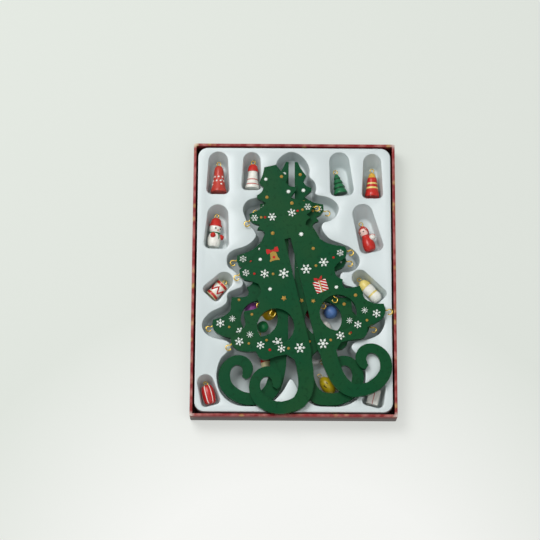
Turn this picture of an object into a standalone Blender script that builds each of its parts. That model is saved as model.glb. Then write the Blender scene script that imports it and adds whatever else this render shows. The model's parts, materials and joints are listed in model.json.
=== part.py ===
"""Flat-packed wooden tree set in an open card box.

Two slotted tree panels lie one over the other in a vacuum-formed liner. Brass cup hooks are
screwed into their branch tips, and turned wooden ornaments with screw eyes lie in pockets round
the tree and in the cavity under it. Metres, +Z up, the tree's top points along +Y, and the
origin is at the middle of the box's underside.
"""
import math
from dataclasses import dataclass

import bmesh
import bpy
from mathutils import Matrix, Vector
from mathutils.geometry import interpolate_bezier

# Tree panels
TREE_HEIGHT = 0.276
BOARD_THICKNESS = 0.006
SLOT_CLEARANCE = 0.0008
FRONT_PANEL_TURN = math.radians(13.2)
FRONT_PANEL_X_OFFSET = -0.0241
FRONT_PANEL_Y_OFFSET = -0.0069
TREE_AXIS_X = -0.0028
HOLE_RADIUS = 0.0202

# Card box and liner
BOX_DEPTH = 0.026
CARD_WALL = 0.003
CARD_FLOOR = 0.002
BOX_CORNER = 0.0008
LINER_SHEET = 0.0008
LINER_GAP = 0.0029
LINER_DROP = 0.0003
LINER_CORNER = 0.010
HEAD_MARGIN = 0.0155
FOOT_MARGIN = 0.007
SIDE_MARGIN = 0.0205
EDGE_ROLL = 0.0009
WALL_DRAFT = 0.0022
POCKET_BASE_ROOM = 0.0055
HEAD_SLOPE_SHARE = 0.55
HEAD_TAPER_SHARE = 0.84
SKIRT_DRAFT = 0.0009
PAD_RADIUS = 0.0045

# Brass wire fittings
HOOK_WIRE = 0.0013
HOOK_LOOP_RADIUS = 0.0029
HOOK_STEM = 0.0022
HOOK_SEAT = 0.005
HOOK_SWEEP = math.radians(285)
EYE_WIRE = 0.0010
EYE_LOOP_RADIUS = 0.0021
EYE_STEM = 0.0007
EYE_SEAT = 0.0035
EYE_SWEEP = math.radians(330)

# Turned ornaments
ORNAMENT_LENGTH = 0.030
ORNAMENT_RADIUS = 0.0082
BALL_RADIUS = 0.0078
MITTEN_RADIUS = 0.0030
CUFF_RADIUS = 0.0035

# Gaps that keep touching pieces apart, and how far a cutter overruns
SEAT_GAP = 0.0003
BORE_GAP = 0.0003
OVERRUN = 0.001
WELD_REACH = 0.000003

# Facets
TURNED_SIDES = 12
BLOCK_SIDES = 4
WIRE_STEPS = 8
WIRE_ROUNDING = 1
HOLE_STEPS = 26
CURVE_STEPS = 2
LEG_STEPS = 2
RIM_STEPS = 1
BORE_SIDES = 8
PAD_SIDES = 10
POCKET_STEPS = 4
LINER_CORNER_STEPS = 3
BOX_CORNER_STEPS = 1
BEAD_SEGMENTS = 10
BEAD_RINGS = 6
HANDLE_SHARE = 1 / 3
SHARP_TURN = math.radians(35)

# Linear colours of the coats, and how rough and how metallic they are
CARD_RED = (0.33, 0.03, 0.035, 1.0)
FILM_WHITE = (0.72, 0.76, 0.76, 1.0)
BOARD_GREEN = (0.006, 0.075, 0.026, 1.0)
BRASS = (0.75, 0.52, 0.18, 1.0)
RED = (0.52, 0.03, 0.02, 1.0)
WHITE = (0.80, 0.78, 0.72, 1.0)
GREEN = (0.02, 0.16, 0.07, 1.0)
YELLOW = (0.72, 0.45, 0.03, 1.0)
PURPLE = (0.22, 0.05, 0.26, 1.0)
BLUE = (0.04, 0.10, 0.35, 1.0)
CREAM = (0.75, 0.60, 0.42, 1.0)
CARD_ROUGHNESS = 0.45
FILM_ROUGHNESS = 0.35
BOARD_ROUGHNESS = 0.4
WOOD_ROUGHNESS = 0.3
BRASS_ROUGHNESS = 0.3
FULLY_METALLIC = 1.0

# Places that follow from the sizes above
LINER_LENGTH = TREE_HEIGHT + HEAD_MARGIN + FOOT_MARGIN
SPREAD_SHARE = 0.312
LINER_WIDTH = 2 * (SPREAD_SHARE * TREE_HEIGHT + SIDE_MARGIN)
BOX_WIDTH = LINER_WIDTH + 2 * (LINER_GAP + CARD_WALL)
BOX_LENGTH = LINER_LENGTH + 2 * (LINER_GAP + CARD_WALL)
LINER_TOP_Z = BOX_DEPTH - LINER_DROP
LINER_FLOOR_Z = CARD_FLOOR + 2 * SEAT_GAP + LINER_SHEET
FRONT_PANEL_Z = BOX_DEPTH + SEAT_GAP
BACK_PANEL_Z = FRONT_PANEL_Z - SEAT_GAP - BOARD_THICKNESS
PAD_TOP_Z = BACK_PANEL_Z - SEAT_GAP
TREE_TOP_Y = LINER_LENGTH / 2 - HEAD_MARGIN
SLOT_HALF = (BOARD_THICKNESS + SLOT_CLEARANCE) / 2

# Crown of a panel, right half from the top down: each row is a smooth run of points, and runs
# meet at corners. Both numbers are shares of the tree's height: out from the axis, down from the top.
CROWN_SHARES = (
    ((0.024, 0.000), (0.037, 0.028)),
    ((0.059, 0.059),),
    ((0.046, 0.083), (0.058, 0.100)),
    ((0.080, 0.110),),
    ((0.080, 0.122), (0.063, 0.136)),
    ((0.051, 0.149), (0.086, 0.170)),
    ((0.127, 0.179),),
    ((0.129, 0.205), (0.116, 0.222)),
    ((0.097, 0.232),),
    ((0.109, 0.248), (0.092, 0.256)),
    ((0.083, 0.270), (0.104, 0.303), (0.126, 0.342), (0.158, 0.371)),
    ((0.217, 0.396),),
    ((0.219, 0.416), (0.208, 0.438), (0.178, 0.454)),
    ((0.155, 0.470), (0.152, 0.489), (0.156, 0.510)),
    ((0.176, 0.526),),
    ((0.169, 0.545), (0.177, 0.563)),
    ((0.236, 0.567), (0.240, 0.592), (0.243, 0.622), (0.274, 0.648)),
    ((0.310, 0.659),),
    ((0.313, 0.680), (0.300, 0.708), (0.262, 0.728)),
    ((0.226, 0.735),),
    ((0.218, 0.762), (0.198, 0.776), (0.148, 0.773), (0.110, 0.774)),
)
# Centre line and width of the right leg down to the end of its scroll, as shares of the height.
LEG_SHARES = (
    (0.051, 0.802, 0.066), (0.053, 0.855, 0.063), (0.070, 0.926, 0.060), (0.103, 0.967, 0.055),
    (0.141, 0.977, 0.049), (0.184, 0.975, 0.048), (0.226, 0.955, 0.049), (0.254, 0.925, 0.048),
    (0.263, 0.890, 0.046), (0.259, 0.861, 0.042), (0.244, 0.837, 0.038), (0.219, 0.823, 0.038),
    (0.190, 0.827, 0.042), (0.171, 0.852, 0.043), (0.176, 0.881, 0.034), (0.186, 0.893, 0.020),
)
FORK_SHARE = 0.780
FRONT_SLOT_END_SHARE = 0.312
BACK_SLOT_END_SHARE = 0.750
HOLE_U_SHARE = 0.127
HOLE_V_SHARE = 0.6536
# Branch hooks: where the wire enters the tip, and the way it points below level, in degrees.
HOOK_SHARES = (
    ("upper", 0.1290, 0.203, 36),
    ("middle", 0.2190, 0.412, 38),
    ("lower", 0.3125, 0.683, 38),
)
# Rim of the tree-shaped cavity, clockwise from the top, in the back panel's own shares.
CAVITY_SHARES = (
    (0.000, -0.043), (0.048, -0.016), (0.071, 0.029), (0.071, 0.062), (0.092, 0.085), (0.098, 0.112),
    (0.097, 0.136), (0.134, 0.145), (0.168, 0.161), (0.188, 0.190), (0.179, 0.226), (0.156, 0.246),
    (0.127, 0.256), (0.121, 0.277), (0.132, 0.301), (0.156, 0.325), (0.195, 0.341), (0.236, 0.360),
    (0.265, 0.389), (0.272, 0.417), (0.258, 0.446), (0.229, 0.459), (0.203, 0.462), (0.194, 0.482),
    (0.210, 0.512), (0.252, 0.528), (0.262, 0.572), (0.286, 0.601), (0.320, 0.622), (0.354, 0.632),
    (0.370, 0.656), (0.365, 0.686), (0.345, 0.715), (0.307, 0.733), (0.254, 0.745), (0.238, 0.766),
    (0.251, 0.788), (0.276, 0.815), (0.291, 0.860), (0.292, 0.902), (0.279, 0.948), (0.248, 0.984),
    (0.205, 1.003), (0.148, 1.006), (0.093, 1.001), (0.056, 0.974), (0.028, 0.938), (0.006, 0.900),
    (-0.006, 0.900), (-0.028, 0.938), (-0.056, 0.974), (-0.093, 1.001), (-0.148, 1.006),
    (-0.205, 1.003), (-0.248, 0.984), (-0.279, 0.948), (-0.292, 0.902), (-0.291, 0.860),
    (-0.276, 0.815), (-0.251, 0.788), (-0.238, 0.766), (-0.254, 0.745), (-0.307, 0.732),
    (-0.338, 0.714), (-0.352, 0.690), (-0.349, 0.663), (-0.322, 0.630), (-0.277, 0.606),
    (-0.256, 0.585), (-0.252, 0.551), (-0.222, 0.534), (-0.197, 0.522), (-0.194, 0.498),
    (-0.227, 0.459), (-0.252, 0.440), (-0.258, 0.411), (-0.250, 0.387), (-0.226, 0.370),
    (-0.186, 0.356), (-0.156, 0.334), (-0.142, 0.305), (-0.172, 0.262), (-0.190, 0.225),
    (-0.194, 0.193), (-0.175, 0.163), (-0.141, 0.152), (-0.108, 0.136), (-0.095, 0.100),
    (-0.074, 0.060), (-0.066, 0.020), (-0.048, -0.018),
)
# Pads that the liner raises under the back panel, in the panel's shares.
PAD_SHARES = (
    (-0.072, 0.197), (0.072, 0.197), (-0.120, 0.412), (0.120, 0.412),
    (-0.048, 0.742), (0.048, 0.742), (-0.165, 0.972), (0.165, 0.972),
)
LINER_HALF_LENGTH = LINER_LENGTH / 2
LINER_HALF_WIDTH = LINER_WIDTH / 2

# Turned profiles from the eye end to the base: shares of the length, shares of the radius.
BELL_SHARES = (
    (0.0, 0.30), (0.05, 0.49), (0.17, 0.58), (0.50, 0.68), (0.78, 0.84), (0.94, 1.0), (1.0, 0.97),
)
CAPPED_SHARES = (
    (0.0, 0.38), (0.06, 0.62), (0.24, 0.76), (0.29, 0.76), (0.30, 0.62), (0.50, 0.68), (0.80, 0.84),
    (0.90, 1.0), (1.0, 0.98),
)
MINI_TREE_SHARES = (
    (0.0, 0.16), (0.20, 0.50), (0.25, 0.40), (0.44, 0.70), (0.49, 0.54), (0.68, 0.86), (0.73, 0.68),
    (0.93, 1.0), (1.0, 0.90),
)
BANDED_SHARES = (
    (0.0, 0.24), (0.06, 0.44), (0.20, 0.55), (0.23, 0.66), (0.45, 0.72), (0.75, 0.86), (0.88, 1.0),
    (1.0, 0.94),
)
SNOWMAN_SHARES = (
    (0.0, 0.42), (0.05, 0.68), (0.20, 0.82), (0.24, 0.93), (0.29, 0.93), (0.31, 0.84), (0.41, 0.88),
    (0.50, 0.70), (0.54, 0.72), (0.64, 0.95), (0.78, 1.0), (0.92, 0.90), (1.0, 0.74),
)
FIGURE_SHARES = (
    (0.0, 0.28), (0.06, 0.56), (0.18, 0.80), (0.30, 0.78), (0.40, 0.56), (0.45, 0.62), (0.58, 0.86),
    (0.78, 1.0), (0.93, 0.92), (1.0, 0.70),
)
DRUM_SHARES = (
    (0.0, 0.98), (0.02, 1.0), (0.20, 1.0), (0.22, 0.92), (0.78, 0.92), (0.80, 1.0), (0.98, 1.0),
    (1.0, 0.98),
)
DOUBLE_SHARES = (
    (0.0, 0.36), (0.04, 0.66), (0.16, 0.90), (0.30, 0.96), (0.34, 0.90), (0.48, 1.0), (0.60, 0.93),
    (0.65, 0.86), (0.70, 0.93), (0.84, 0.98), (0.96, 0.74), (1.0, 0.44),
)
BARREL_SHARES = ((0.0, 0.68), (0.08, 0.86), (0.32, 1.0), (0.70, 1.0), (0.93, 0.85), (1.0, 0.66))
BLOCK_SHARES = ((0.0, 0.94), (0.04, 1.0), (0.96, 1.0), (1.0, 0.94))
BALL_SHARES = (
    (0.0, 0.26), (0.06, 0.50), (0.18, 0.78), (0.34, 0.96), (0.50, 1.0), (0.66, 0.95), (0.82, 0.77),
    (0.94, 0.46),
)
ONION_SHARES = (
    (0.0, 0.24), (0.08, 0.42), (0.20, 0.68), (0.38, 0.92), (0.56, 1.0), (0.74, 0.92), (0.88, 0.66),
    (0.97, 0.30),
)
EGG_SHARES = (
    (0.0, 0.28), (0.08, 0.56), (0.24, 0.84), (0.46, 1.0), (0.68, 0.94), (0.86, 0.68), (0.97, 0.30),
)
CANDLE_SHARES = ((0.0, 0.30), (0.10, 0.60), (0.30, 0.70), (0.34, 1.0), (0.94, 1.0), (1.0, 0.90))


@dataclass(frozen=True)
class Ornament:
    """One turned ornament: its size as shares of the common sizes, and its place in the liner.

    The place is in shares of the liner's half width and half length from the middle, and lean is
    how far its eye end turns from the tree's top, in degrees.
    """

    name: str
    profile_shares: tuple
    length_share: float
    radius_share: float
    place_shares: tuple
    lean: float
    colour: tuple
    size: float = ORNAMENT_RADIUS
    sides: int = TURNED_SIDES

    @property
    def length(self):
        """Length of the body along its axis, without the eye."""
        return ORNAMENT_LENGTH * self.length_share

    @property
    def radius(self):
        """Largest radius of the body."""
        return self.size * self.radius_share

    @property
    def centre(self):
        """Middle of the body as it lies on the liner's floor."""
        x_share, y_share = self.place_shares
        return Vector((LINER_HALF_WIDTH * x_share, LINER_HALF_LENGTH * y_share,
                       LINER_FLOOR_Z + SEAT_GAP + self.radius))


@dataclass(frozen=True)
class Pocket:
    """A pocket of the liner round one ornament: shares of the ornament's reach and radius."""

    ornament: Ornament
    room_share: float
    width_share: float
    shift_share: float
    turn: float
    base_share: float

    @property
    def length(self):
        """Length of the pocket's mouth."""
        reach = self.ornament.length + EYE_STEM + 2 * EYE_LOOP_RADIUS + EYE_WIRE
        return self.base_room + reach * self.room_share

    @property
    def base_room(self):
        """Clear length of the pocket past the ornament's base."""
        return POCKET_BASE_ROOM * self.base_share

    @property
    def head_draft(self):
        """How far the head end slopes in on its way down: more where there is room to spare."""
        spare = self.length - self.base_room - self.ornament.length - EYE_STEM - 2 * EYE_LOOP_RADIUS
        return WALL_DRAFT + max(0.0, spare * HEAD_SLOPE_SHARE)

    @property
    def half_width(self):
        """Half the width of the pocket's mouth."""
        return self.ornament.radius * self.width_share + WALL_DRAFT

    @property
    def matrix(self):
        """Place of the pocket's mouth: its base end lies past the ornament's base."""
        body = self.ornament
        along = self.base_room + body.length / 2
        turn = Matrix.Rotation(math.radians(body.lean + self.turn), 4, "Z")
        flat = Vector((body.centre.x, body.centre.y, 0.0))
        offset = Vector((body.radius * self.shift_share, self.length / 2 - along, 0.0))
        return Matrix.Translation(flat) @ turn @ Matrix.Translation(offset)


POCKET_ORNAMENTS = (
    Ornament("red_bell", BELL_SHARES, 1.02, 1.10, (-0.793, 0.783), 0.0, RED),
    Ornament("capped_bell", CAPPED_SHARES, 0.93, 0.98, (-0.436, 0.807), -2.0, WHITE),
    Ornament("mini_tree", MINI_TREE_SHARES, 0.79, 0.98, (0.468, 0.751), 13.0, GREEN),
    Ornament("banded_bell", BANDED_SHARES, 0.93, 1.00, (0.822, 0.747), 0.0, RED),
    Ornament("snowman", SNOWMAN_SHARES, 1.10, 0.93, (-0.827, 0.368), -6.0, WHITE),
    Ornament("robed_figure", FIGURE_SHARES, 0.98, 0.86, (0.759, 0.330), 20.0, RED),
    Ornament("drum", DRUM_SHARES, 0.63, 0.86, (-0.798, -0.075), -44.0, RED),
    Ornament("double_bulb", DOUBLE_SHARES, 0.98, 0.84, (0.792, -0.074), 43.0, WHITE),
    Ornament("barrel", BARREL_SHARES, 0.68, 0.90, (-0.868, -0.866), 15.0, RED),
    Ornament("gift_block", BLOCK_SHARES, 0.56, 0.80, (0.818, -0.878), -14.0, WHITE, sides=BLOCK_SIDES),
)
# Room, width and shift of each pocket as shares, its turn in degrees, and its room at the base.
POCKET_SHARES = (
    (1.20, 1.16, -0.05, 0.0, 1.0), (1.14, 1.12, -0.12, 2.0, 1.0), (1.52, 1.34, 0.30, -8.0, 1.0),
    (1.36, 1.14, -0.05, 0.0, 1.0), (1.16, 1.50, 0.36, 4.0, 1.0), (1.44, 1.56, 0.20, -6.0, 1.0),
    (1.22, 1.30, 0.10, 0.0, 0.7), (1.13, 1.20, -0.10, 0.0, 0.6), (1.16, 1.12, 0.0, 1.0, 0.8),
    (1.20, 1.46, 0.06, 0.0, 0.8),
)
POCKETS = tuple(Pocket(ornament, *shares) for ornament, shares in zip(POCKET_ORNAMENTS, POCKET_SHARES))
CAVITY_ORNAMENTS = (
    Ornament("purple_ball", BALL_SHARES, 0.52, 1.00, (-0.437, -0.219), -50.0, PURPLE, BALL_RADIUS),
    Ornament("yellow_onion", ONION_SHARES, 0.54, 0.94, (-0.252, -0.254), -84.0, YELLOW, BALL_RADIUS),
    Ornament("green_ball", BALL_SHARES, 0.44, 0.84, (-0.318, -0.350), 150.0, GREEN, BALL_RADIUS),
    Ornament("red_ball", BALL_SHARES, 0.52, 1.00, (0.194, -0.243), 30.0, RED, BALL_RADIUS),
    Ornament("blue_ball", BALL_SHARES, 0.52, 1.00, (0.381, -0.238), -35.0, BLUE, BALL_RADIUS),
    Ornament("white_egg", EGG_SHARES, 0.56, 0.80, (0.322, -0.345), -128.0, WHITE, BALL_RADIUS),
    Ornament("silver_bell", BELL_SHARES, 0.56, 0.80, (0.190, -0.614), -90.0, WHITE, BALL_RADIUS),
    Ornament("yellow_lemon", EGG_SHARES, 0.72, 1.00, (0.350, -0.790), 40.0, YELLOW, BALL_RADIUS),
    Ornament("cream_candle", CANDLE_SHARES, 0.62, 0.76, (-0.284, -0.612), 12.0, CREAM, BALL_RADIUS),
)
# Beads joined to ornaments: shares of the radius, the length and the radius from the middle.
BEAD_SHARES = (
    ("snowman", "left_mitten", (-0.18, -0.14, 0.944), MITTEN_RADIUS),
    ("snowman", "right_mitten", (1.0, -0.14, 0.0), MITTEN_RADIUS),
    ("robed_figure", "cuff", (0.9, -0.05, 0.45), CUFF_RADIUS),
)


def clear_scene():
    """Remove every object that the file starts with."""
    for old in list(bpy.data.objects):
        bpy.data.objects.remove(old, do_unlink=True)


def make_material(name, colour, roughness, metallic=0.0):
    """Return a Principled material of one colour."""
    material = bpy.data.materials.new(name)
    material.use_nodes = True
    shader = material.node_tree.nodes["Principled BSDF"]
    shader.inputs["Base Color"].default_value = colour
    shader.inputs["Roughness"].default_value = roughness
    shader.inputs["Metallic"].default_value = metallic
    material.diffuse_color = colour
    return material


def add_object(name, data, material):
    """Link a new object that holds data and wears material."""
    piece = bpy.data.objects.new(name, data)
    bpy.context.collection.objects.link(piece)
    data.materials.append(material)
    return piece


def mesh_from(name, bm):
    """Turn a bmesh into a mesh with its round sides smooth."""
    mesh = bpy.data.meshes.new(name)
    bm.to_mesh(mesh)
    bm.free()
    mesh.shade_smooth()
    mesh.set_sharp_from_angle(angle=SHARP_TURN)
    return mesh


def closed_mesh(name, bm):
    """Turn a bmesh that closes round its inside into a mesh with its faces pointing out."""
    bmesh.ops.recalc_face_normals(bm, faces=bm.faces)
    return mesh_from(name, bm)


def hide_cutter(cutter):
    """Leave a cutter or a guide out of the model."""
    cutter.hide_render = True
    cutter.display_type = "WIRE"


def smooth_run(points, steps, closed=False):
    """Return points along a smooth curve that passes through the given ones."""
    count = len(points)
    tangents = []
    for index, point in enumerate(points):
        before = points[index - 1] if index or closed else point
        after = points[(index + 1) % count] if index < count - 1 or closed else point
        tangents.append((after - before).normalized())
    curve = []
    for index in range(count if closed else count - 1):
        start = points[index]
        end = points[(index + 1) % count]
        reach = (end - start).length * HANDLE_SHARE
        leaving = start + tangents[index] * reach
        arriving = end - tangents[(index + 1) % count] * reach
        span = interpolate_bezier(start, leaving, arriving, end, steps + 1)
        curve.extend(Vector(point) for point in span[:-1])
    if not closed:
        curve.append(points[-1])
    return curve


def tree_point(u_share, v_share):
    """Place in a panel: u runs right from the axis, v down from the top."""
    return Vector((u_share * TREE_HEIGHT, -v_share * TREE_HEIGHT, 0.0))


def crown_edge():
    """Right edge of the crown from the top corner to where the leg starts."""
    corners = [[tree_point(*share) for share in run] for run in CROWN_SHARES]
    edge = []
    for run, following in zip(corners, corners[1:] + [[]]):
        points = smooth_run(run + following[:1], CURVE_STEPS)
        edge.extend(points[:-1] if following else points)
    return edge


def leg_edges():
    """Upper and lower edges of the right leg, each from the root to the end of the scroll."""
    centre = smooth_run([tree_point(u, v) for u, v, _ in LEG_SHARES], LEG_STEPS)
    widths = smooth_run([Vector((width * TREE_HEIGHT, 0.0, 0.0)) for _, _, width in LEG_SHARES], LEG_STEPS)
    upper = []
    lower = []
    for index, (point, width) in enumerate(zip(centre, widths)):
        ahead = centre[min(index + 1, len(centre) - 1)]
        behind = centre[max(index - 1, 0)]
        along = (ahead - behind).normalized()
        side = Vector((-along.y, along.x, 0.0)) * width.x / 2
        upper.append(point + side)
        lower.append(point - side)
    return upper, lower


def mirrored(points):
    """Same points on the other side of the tree's axis, in the opposite order."""
    return [Vector((-point.x, point.y, point.z)) for point in reversed(points)]


def panel_outline(slot_from_top):
    """Closed outline of a panel with its slot at the top or at the foot."""
    upper, lower = leg_edges()
    edge = crown_edge() + upper + list(reversed(lower))
    if slot_from_top:
        start = [Vector((SLOT_HALF, 0.0, 0.0))]
        right = start + edge + [tree_point(0.0, FORK_SHARE)]
        closing = tree_point(0.0, BACK_SLOT_END_SHARE)
        slot = [Vector((-SLOT_HALF, closing.y, 0.0)), Vector((SLOT_HALF, closing.y, 0.0))]
        return right + mirrored(right)[1:] + slot
    fork = tree_point(0.0, FORK_SHARE)
    closing = tree_point(0.0, FRONT_SLOT_END_SHARE)
    right = edge + [Vector((SLOT_HALF, fork.y, 0.0)), Vector((SLOT_HALF, closing.y, 0.0))]
    return right + mirrored(right)


def add_loop(bm, points, z):
    """Add a closed loop of edges at height z."""
    verts = [bm.verts.new((point.x, point.y, z)) for point in points]
    edges = [bm.edges.new((verts[i - 1], verts[i])) for i in range(len(verts))]
    return verts, edges


def join_loops(bm, first, second):
    """Close the band between two loops of equal counts."""
    for index in range(len(first)):
        bm.faces.new((first[index - 1], first[index], second[index], second[index - 1]))


def circle_points(centre, radius, steps):
    """Points of a circle round centre."""
    turns = [2 * math.pi * step / steps for step in range(steps)]
    return [centre + Vector((math.cos(turn), math.sin(turn), 0.0)) * radius for turn in turns]


def hook_matrix(side, u_share, v_share, dip):
    """Place of a hook in its panel: its wire enters the edge and points out and down."""
    turn = -math.radians(dip) if side > 0 else math.pi + math.radians(dip)
    edge = tree_point(side * u_share, v_share) + Vector((0.0, 0.0, BOARD_THICKNESS / 2))
    return Matrix.Translation(edge) @ Matrix.Rotation(turn, 4, "Z")


def hook_places():
    """Names, places and sides of a panel's eight hooks."""
    places = []
    for side, word in ((-1, "left"), (1, "right")):
        for level, u_share, v_share, dip in HOOK_SHARES:
            places.append(("hook_%s_%s" % (word, level), hook_matrix(side, u_share, v_share, dip), side))
        crown = tree_point(side * HOLE_U_SHARE, HOLE_V_SHARE)
        crown += Vector((0.0, HOLE_RADIUS, BOARD_THICKNESS / 2))
        turn = Matrix.Rotation(-math.pi / 2, 4, "Z")
        places.append(("hole_hook_%s" % word, Matrix.Translation(crown) @ turn, side))
    return places


def bore_cutter(name, matrix):
    """Cylinder that drills the seat of one hook's wire."""
    bm = bmesh.new()
    radius = HOOK_WIRE / 2 + BORE_GAP
    depth = HOOK_SEAT + BORE_GAP + OVERRUN
    middle = Matrix.Translation((OVERRUN - depth / 2, 0.0, 0.0))
    bmesh.ops.create_cone(
        bm, cap_ends=True, segments=BORE_SIDES, radius1=radius, radius2=radius, depth=depth,
        matrix=middle @ Matrix.Rotation(math.pi / 2, 4, "Y"),
    )
    cutter = bpy.data.objects.new(name, closed_mesh(name, bm))
    bpy.context.collection.objects.link(cutter)
    cutter.matrix_world = matrix
    hide_cutter(cutter)
    return cutter


def add_cut(piece, cutter, operation="DIFFERENCE"):
    """Cut a piece with a cutter, or join the two."""
    cut = piece.modifiers.new(cutter.name, "BOOLEAN")
    cut.operation = operation
    cut.solver = "EXACT"
    cut.object = cutter


def make_panel(name, slot_from_top, place, material):
    """One tree panel, cut to its outline with two round holes."""
    bm = bmesh.new()
    loops = [panel_outline(slot_from_top)]
    for side in (-1, 1):
        centre = tree_point(side * HOLE_U_SHARE, HOLE_V_SHARE)
        loops.append(circle_points(centre, HOLE_RADIUS, HOLE_STEPS))
    faces = []
    for z in (0.0, BOARD_THICKNESS):
        rings = [add_loop(bm, points, z) for points in loops]
        faces.append([verts for verts, _ in rings])
        edges = [edge for _, ring in rings for edge in ring]
        bmesh.ops.triangle_fill(bm, use_beauty=True, use_dissolve=False, edges=edges)
    for low, high in zip(*faces):
        join_loops(bm, low, high)
    panel = add_object(name, closed_mesh(name, bm), material)
    panel.matrix_world = place
    return panel


def wire_path(seat, stem, radius, sweep):
    """Centre line of a screw eye or cup hook: straight shank, then its loop."""
    path = [Vector((-seat, 0.0, 0.0))]
    start = Vector((stem, 0.0, 0.0))
    centre = start + Vector((radius, 0.0, 0.0))
    path.append(start)
    for step in range(1, WIRE_STEPS + 1):
        turn = math.pi - sweep * step / WIRE_STEPS
        path.append(centre + Vector((math.cos(turn), math.sin(turn), 0.0)) * radius)
    return path


def make_wire(name, path, wire, matrix, material):
    """One brass fitting, bent from round wire along path."""
    curve = bpy.data.curves.new(name, "CURVE")
    curve.dimensions = "3D"
    curve.bevel_depth = wire / 2
    curve.bevel_resolution = WIRE_ROUNDING
    curve.render_resolution_u = 0
    curve.use_fill_caps = True
    line = curve.splines.new("POLY")
    line.points.add(len(path) - 1)
    for point, place in zip(line.points, path):
        point.co = (*place, 1.0)
    fitting = add_object(name, curve, material)
    fitting.matrix_world = matrix
    return fitting


def dress_panel(prefix, panel, brass):
    """Drill a panel's hook seats and screw the hooks in."""
    place = panel.matrix_world.copy()
    for word, matrix, side in hook_places():
        name = "%s_%s" % (prefix, word)
        path = wire_path(HOOK_SEAT, HOOK_STEM, HOOK_LOOP_RADIUS, HOOK_SWEEP * side)
        add_cut(panel, bore_cutter(name + "_seat", place @ matrix))
        make_wire(name, path, HOOK_WIRE, place @ matrix, brass)


def disc_outline(discs, steps):
    """Outline round a row of discs, given anticlockwise, as arcs joined by straight runs."""
    points = []
    count = len(discs)
    for index, (centre, radius) in enumerate(discs):
        before, before_radius = discs[index - 1]
        after, after_radius = discs[(index + 1) % count]
        start = outer_normal(before, before_radius, centre, radius)
        end = outer_normal(centre, radius, after, after_radius)
        while end < start:
            end += 2 * math.pi
        for step in range(steps + 1):
            turn = start + (end - start) * step / steps
            points.append(centre + Vector((math.cos(turn), math.sin(turn), 0.0)) * radius)
    return points


def outer_normal(first, first_radius, second, second_radius):
    """Direction that is square to the outer tangent of two discs."""
    line = second - first
    heading = math.atan2(line.y, line.x)
    return heading - math.acos((first_radius - second_radius) / line.length)


def pocket_discs(pocket, inset, head_inset):
    """Discs of a pocket's outline, drawn in by inset, and further at the head."""
    half = pocket.half_width - inset
    head = half * HEAD_TAPER_SHARE
    corner = half / 2
    low = -pocket.length / 2 + inset + corner
    high = pocket.length / 2 - head_inset - head
    matrix = pocket.matrix
    return [
        (matrix @ Vector((half - corner, low, 0.0)), corner),
        (matrix @ Vector((0.0, high, 0.0)), head),
        (matrix @ Vector((corner - half, low, 0.0)), corner),
    ]


def offset_loop(points, distance):
    """Move a clockwise loop's points inward by distance, square to their neighbours."""
    moved = []
    for index, point in enumerate(points):
        along = (points[(index + 1) % len(points)] - points[index - 1]).normalized()
        moved.append(point + Vector((along.y, -along.x, 0.0)) * distance)
    return moved


def rectangle_points(width, length, corner, steps):
    """Outline of a rectangle with round corners, centred on the origin."""
    x = width / 2 - corner
    y = length / 2 - corner
    discs = [(Vector(spot + (0.0,)), corner) for spot in ((x, -y), (x, y), (-x, y), (-x, -y))]
    return disc_outline(discs, steps)


def back_place():
    """Place of the back panel in the box."""
    return Matrix.Translation((TREE_AXIS_X, TREE_TOP_Y, BACK_PANEL_Z))


def front_place():
    """Place of the front panel, which lies turned over the back one."""
    spot = (TREE_AXIS_X + FRONT_PANEL_X_OFFSET, TREE_TOP_Y + FRONT_PANEL_Y_OFFSET, FRONT_PANEL_Z)
    return Matrix.Translation(spot) @ Matrix.Rotation(FRONT_PANEL_TURN, 4, "Z")


def add_skirt(bm):
    """Rolled edge and outer skirt of the liner. Returns the edges of its top sheet."""
    edge_rise = (
        (0.0, LINER_TOP_Z),
        (EDGE_ROLL, LINER_TOP_Z - EDGE_ROLL),
        (EDGE_ROLL + SKIRT_DRAFT, CARD_FLOOR + SEAT_GAP),
    )
    rings = []
    for spread, z in edge_rise:
        outline = rectangle_points(
            LINER_WIDTH + 2 * spread, LINER_LENGTH + 2 * spread, LINER_CORNER + spread, LINER_CORNER_STEPS
        )
        rings.append(add_loop(bm, outline, z))
    for upper, lower in zip(rings, rings[1:]):
        join_loops(bm, upper[0], lower[0])
    return rings[0][1]


def add_hollow(bm, mouth_points, neck_points, floor_points):
    """Rolled mouth and sloping wall of one hollow. Returns its mouth's edges and its floor."""
    mouth, mouth_edges = add_loop(bm, mouth_points, LINER_TOP_Z)
    neck, _ = add_loop(bm, neck_points, LINER_TOP_Z - EDGE_ROLL)
    floor, floor_edges = add_loop(bm, floor_points, LINER_FLOOR_Z)
    join_loops(bm, mouth, neck)
    join_loops(bm, neck, floor)
    return mouth_edges, floor, floor_edges


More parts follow.
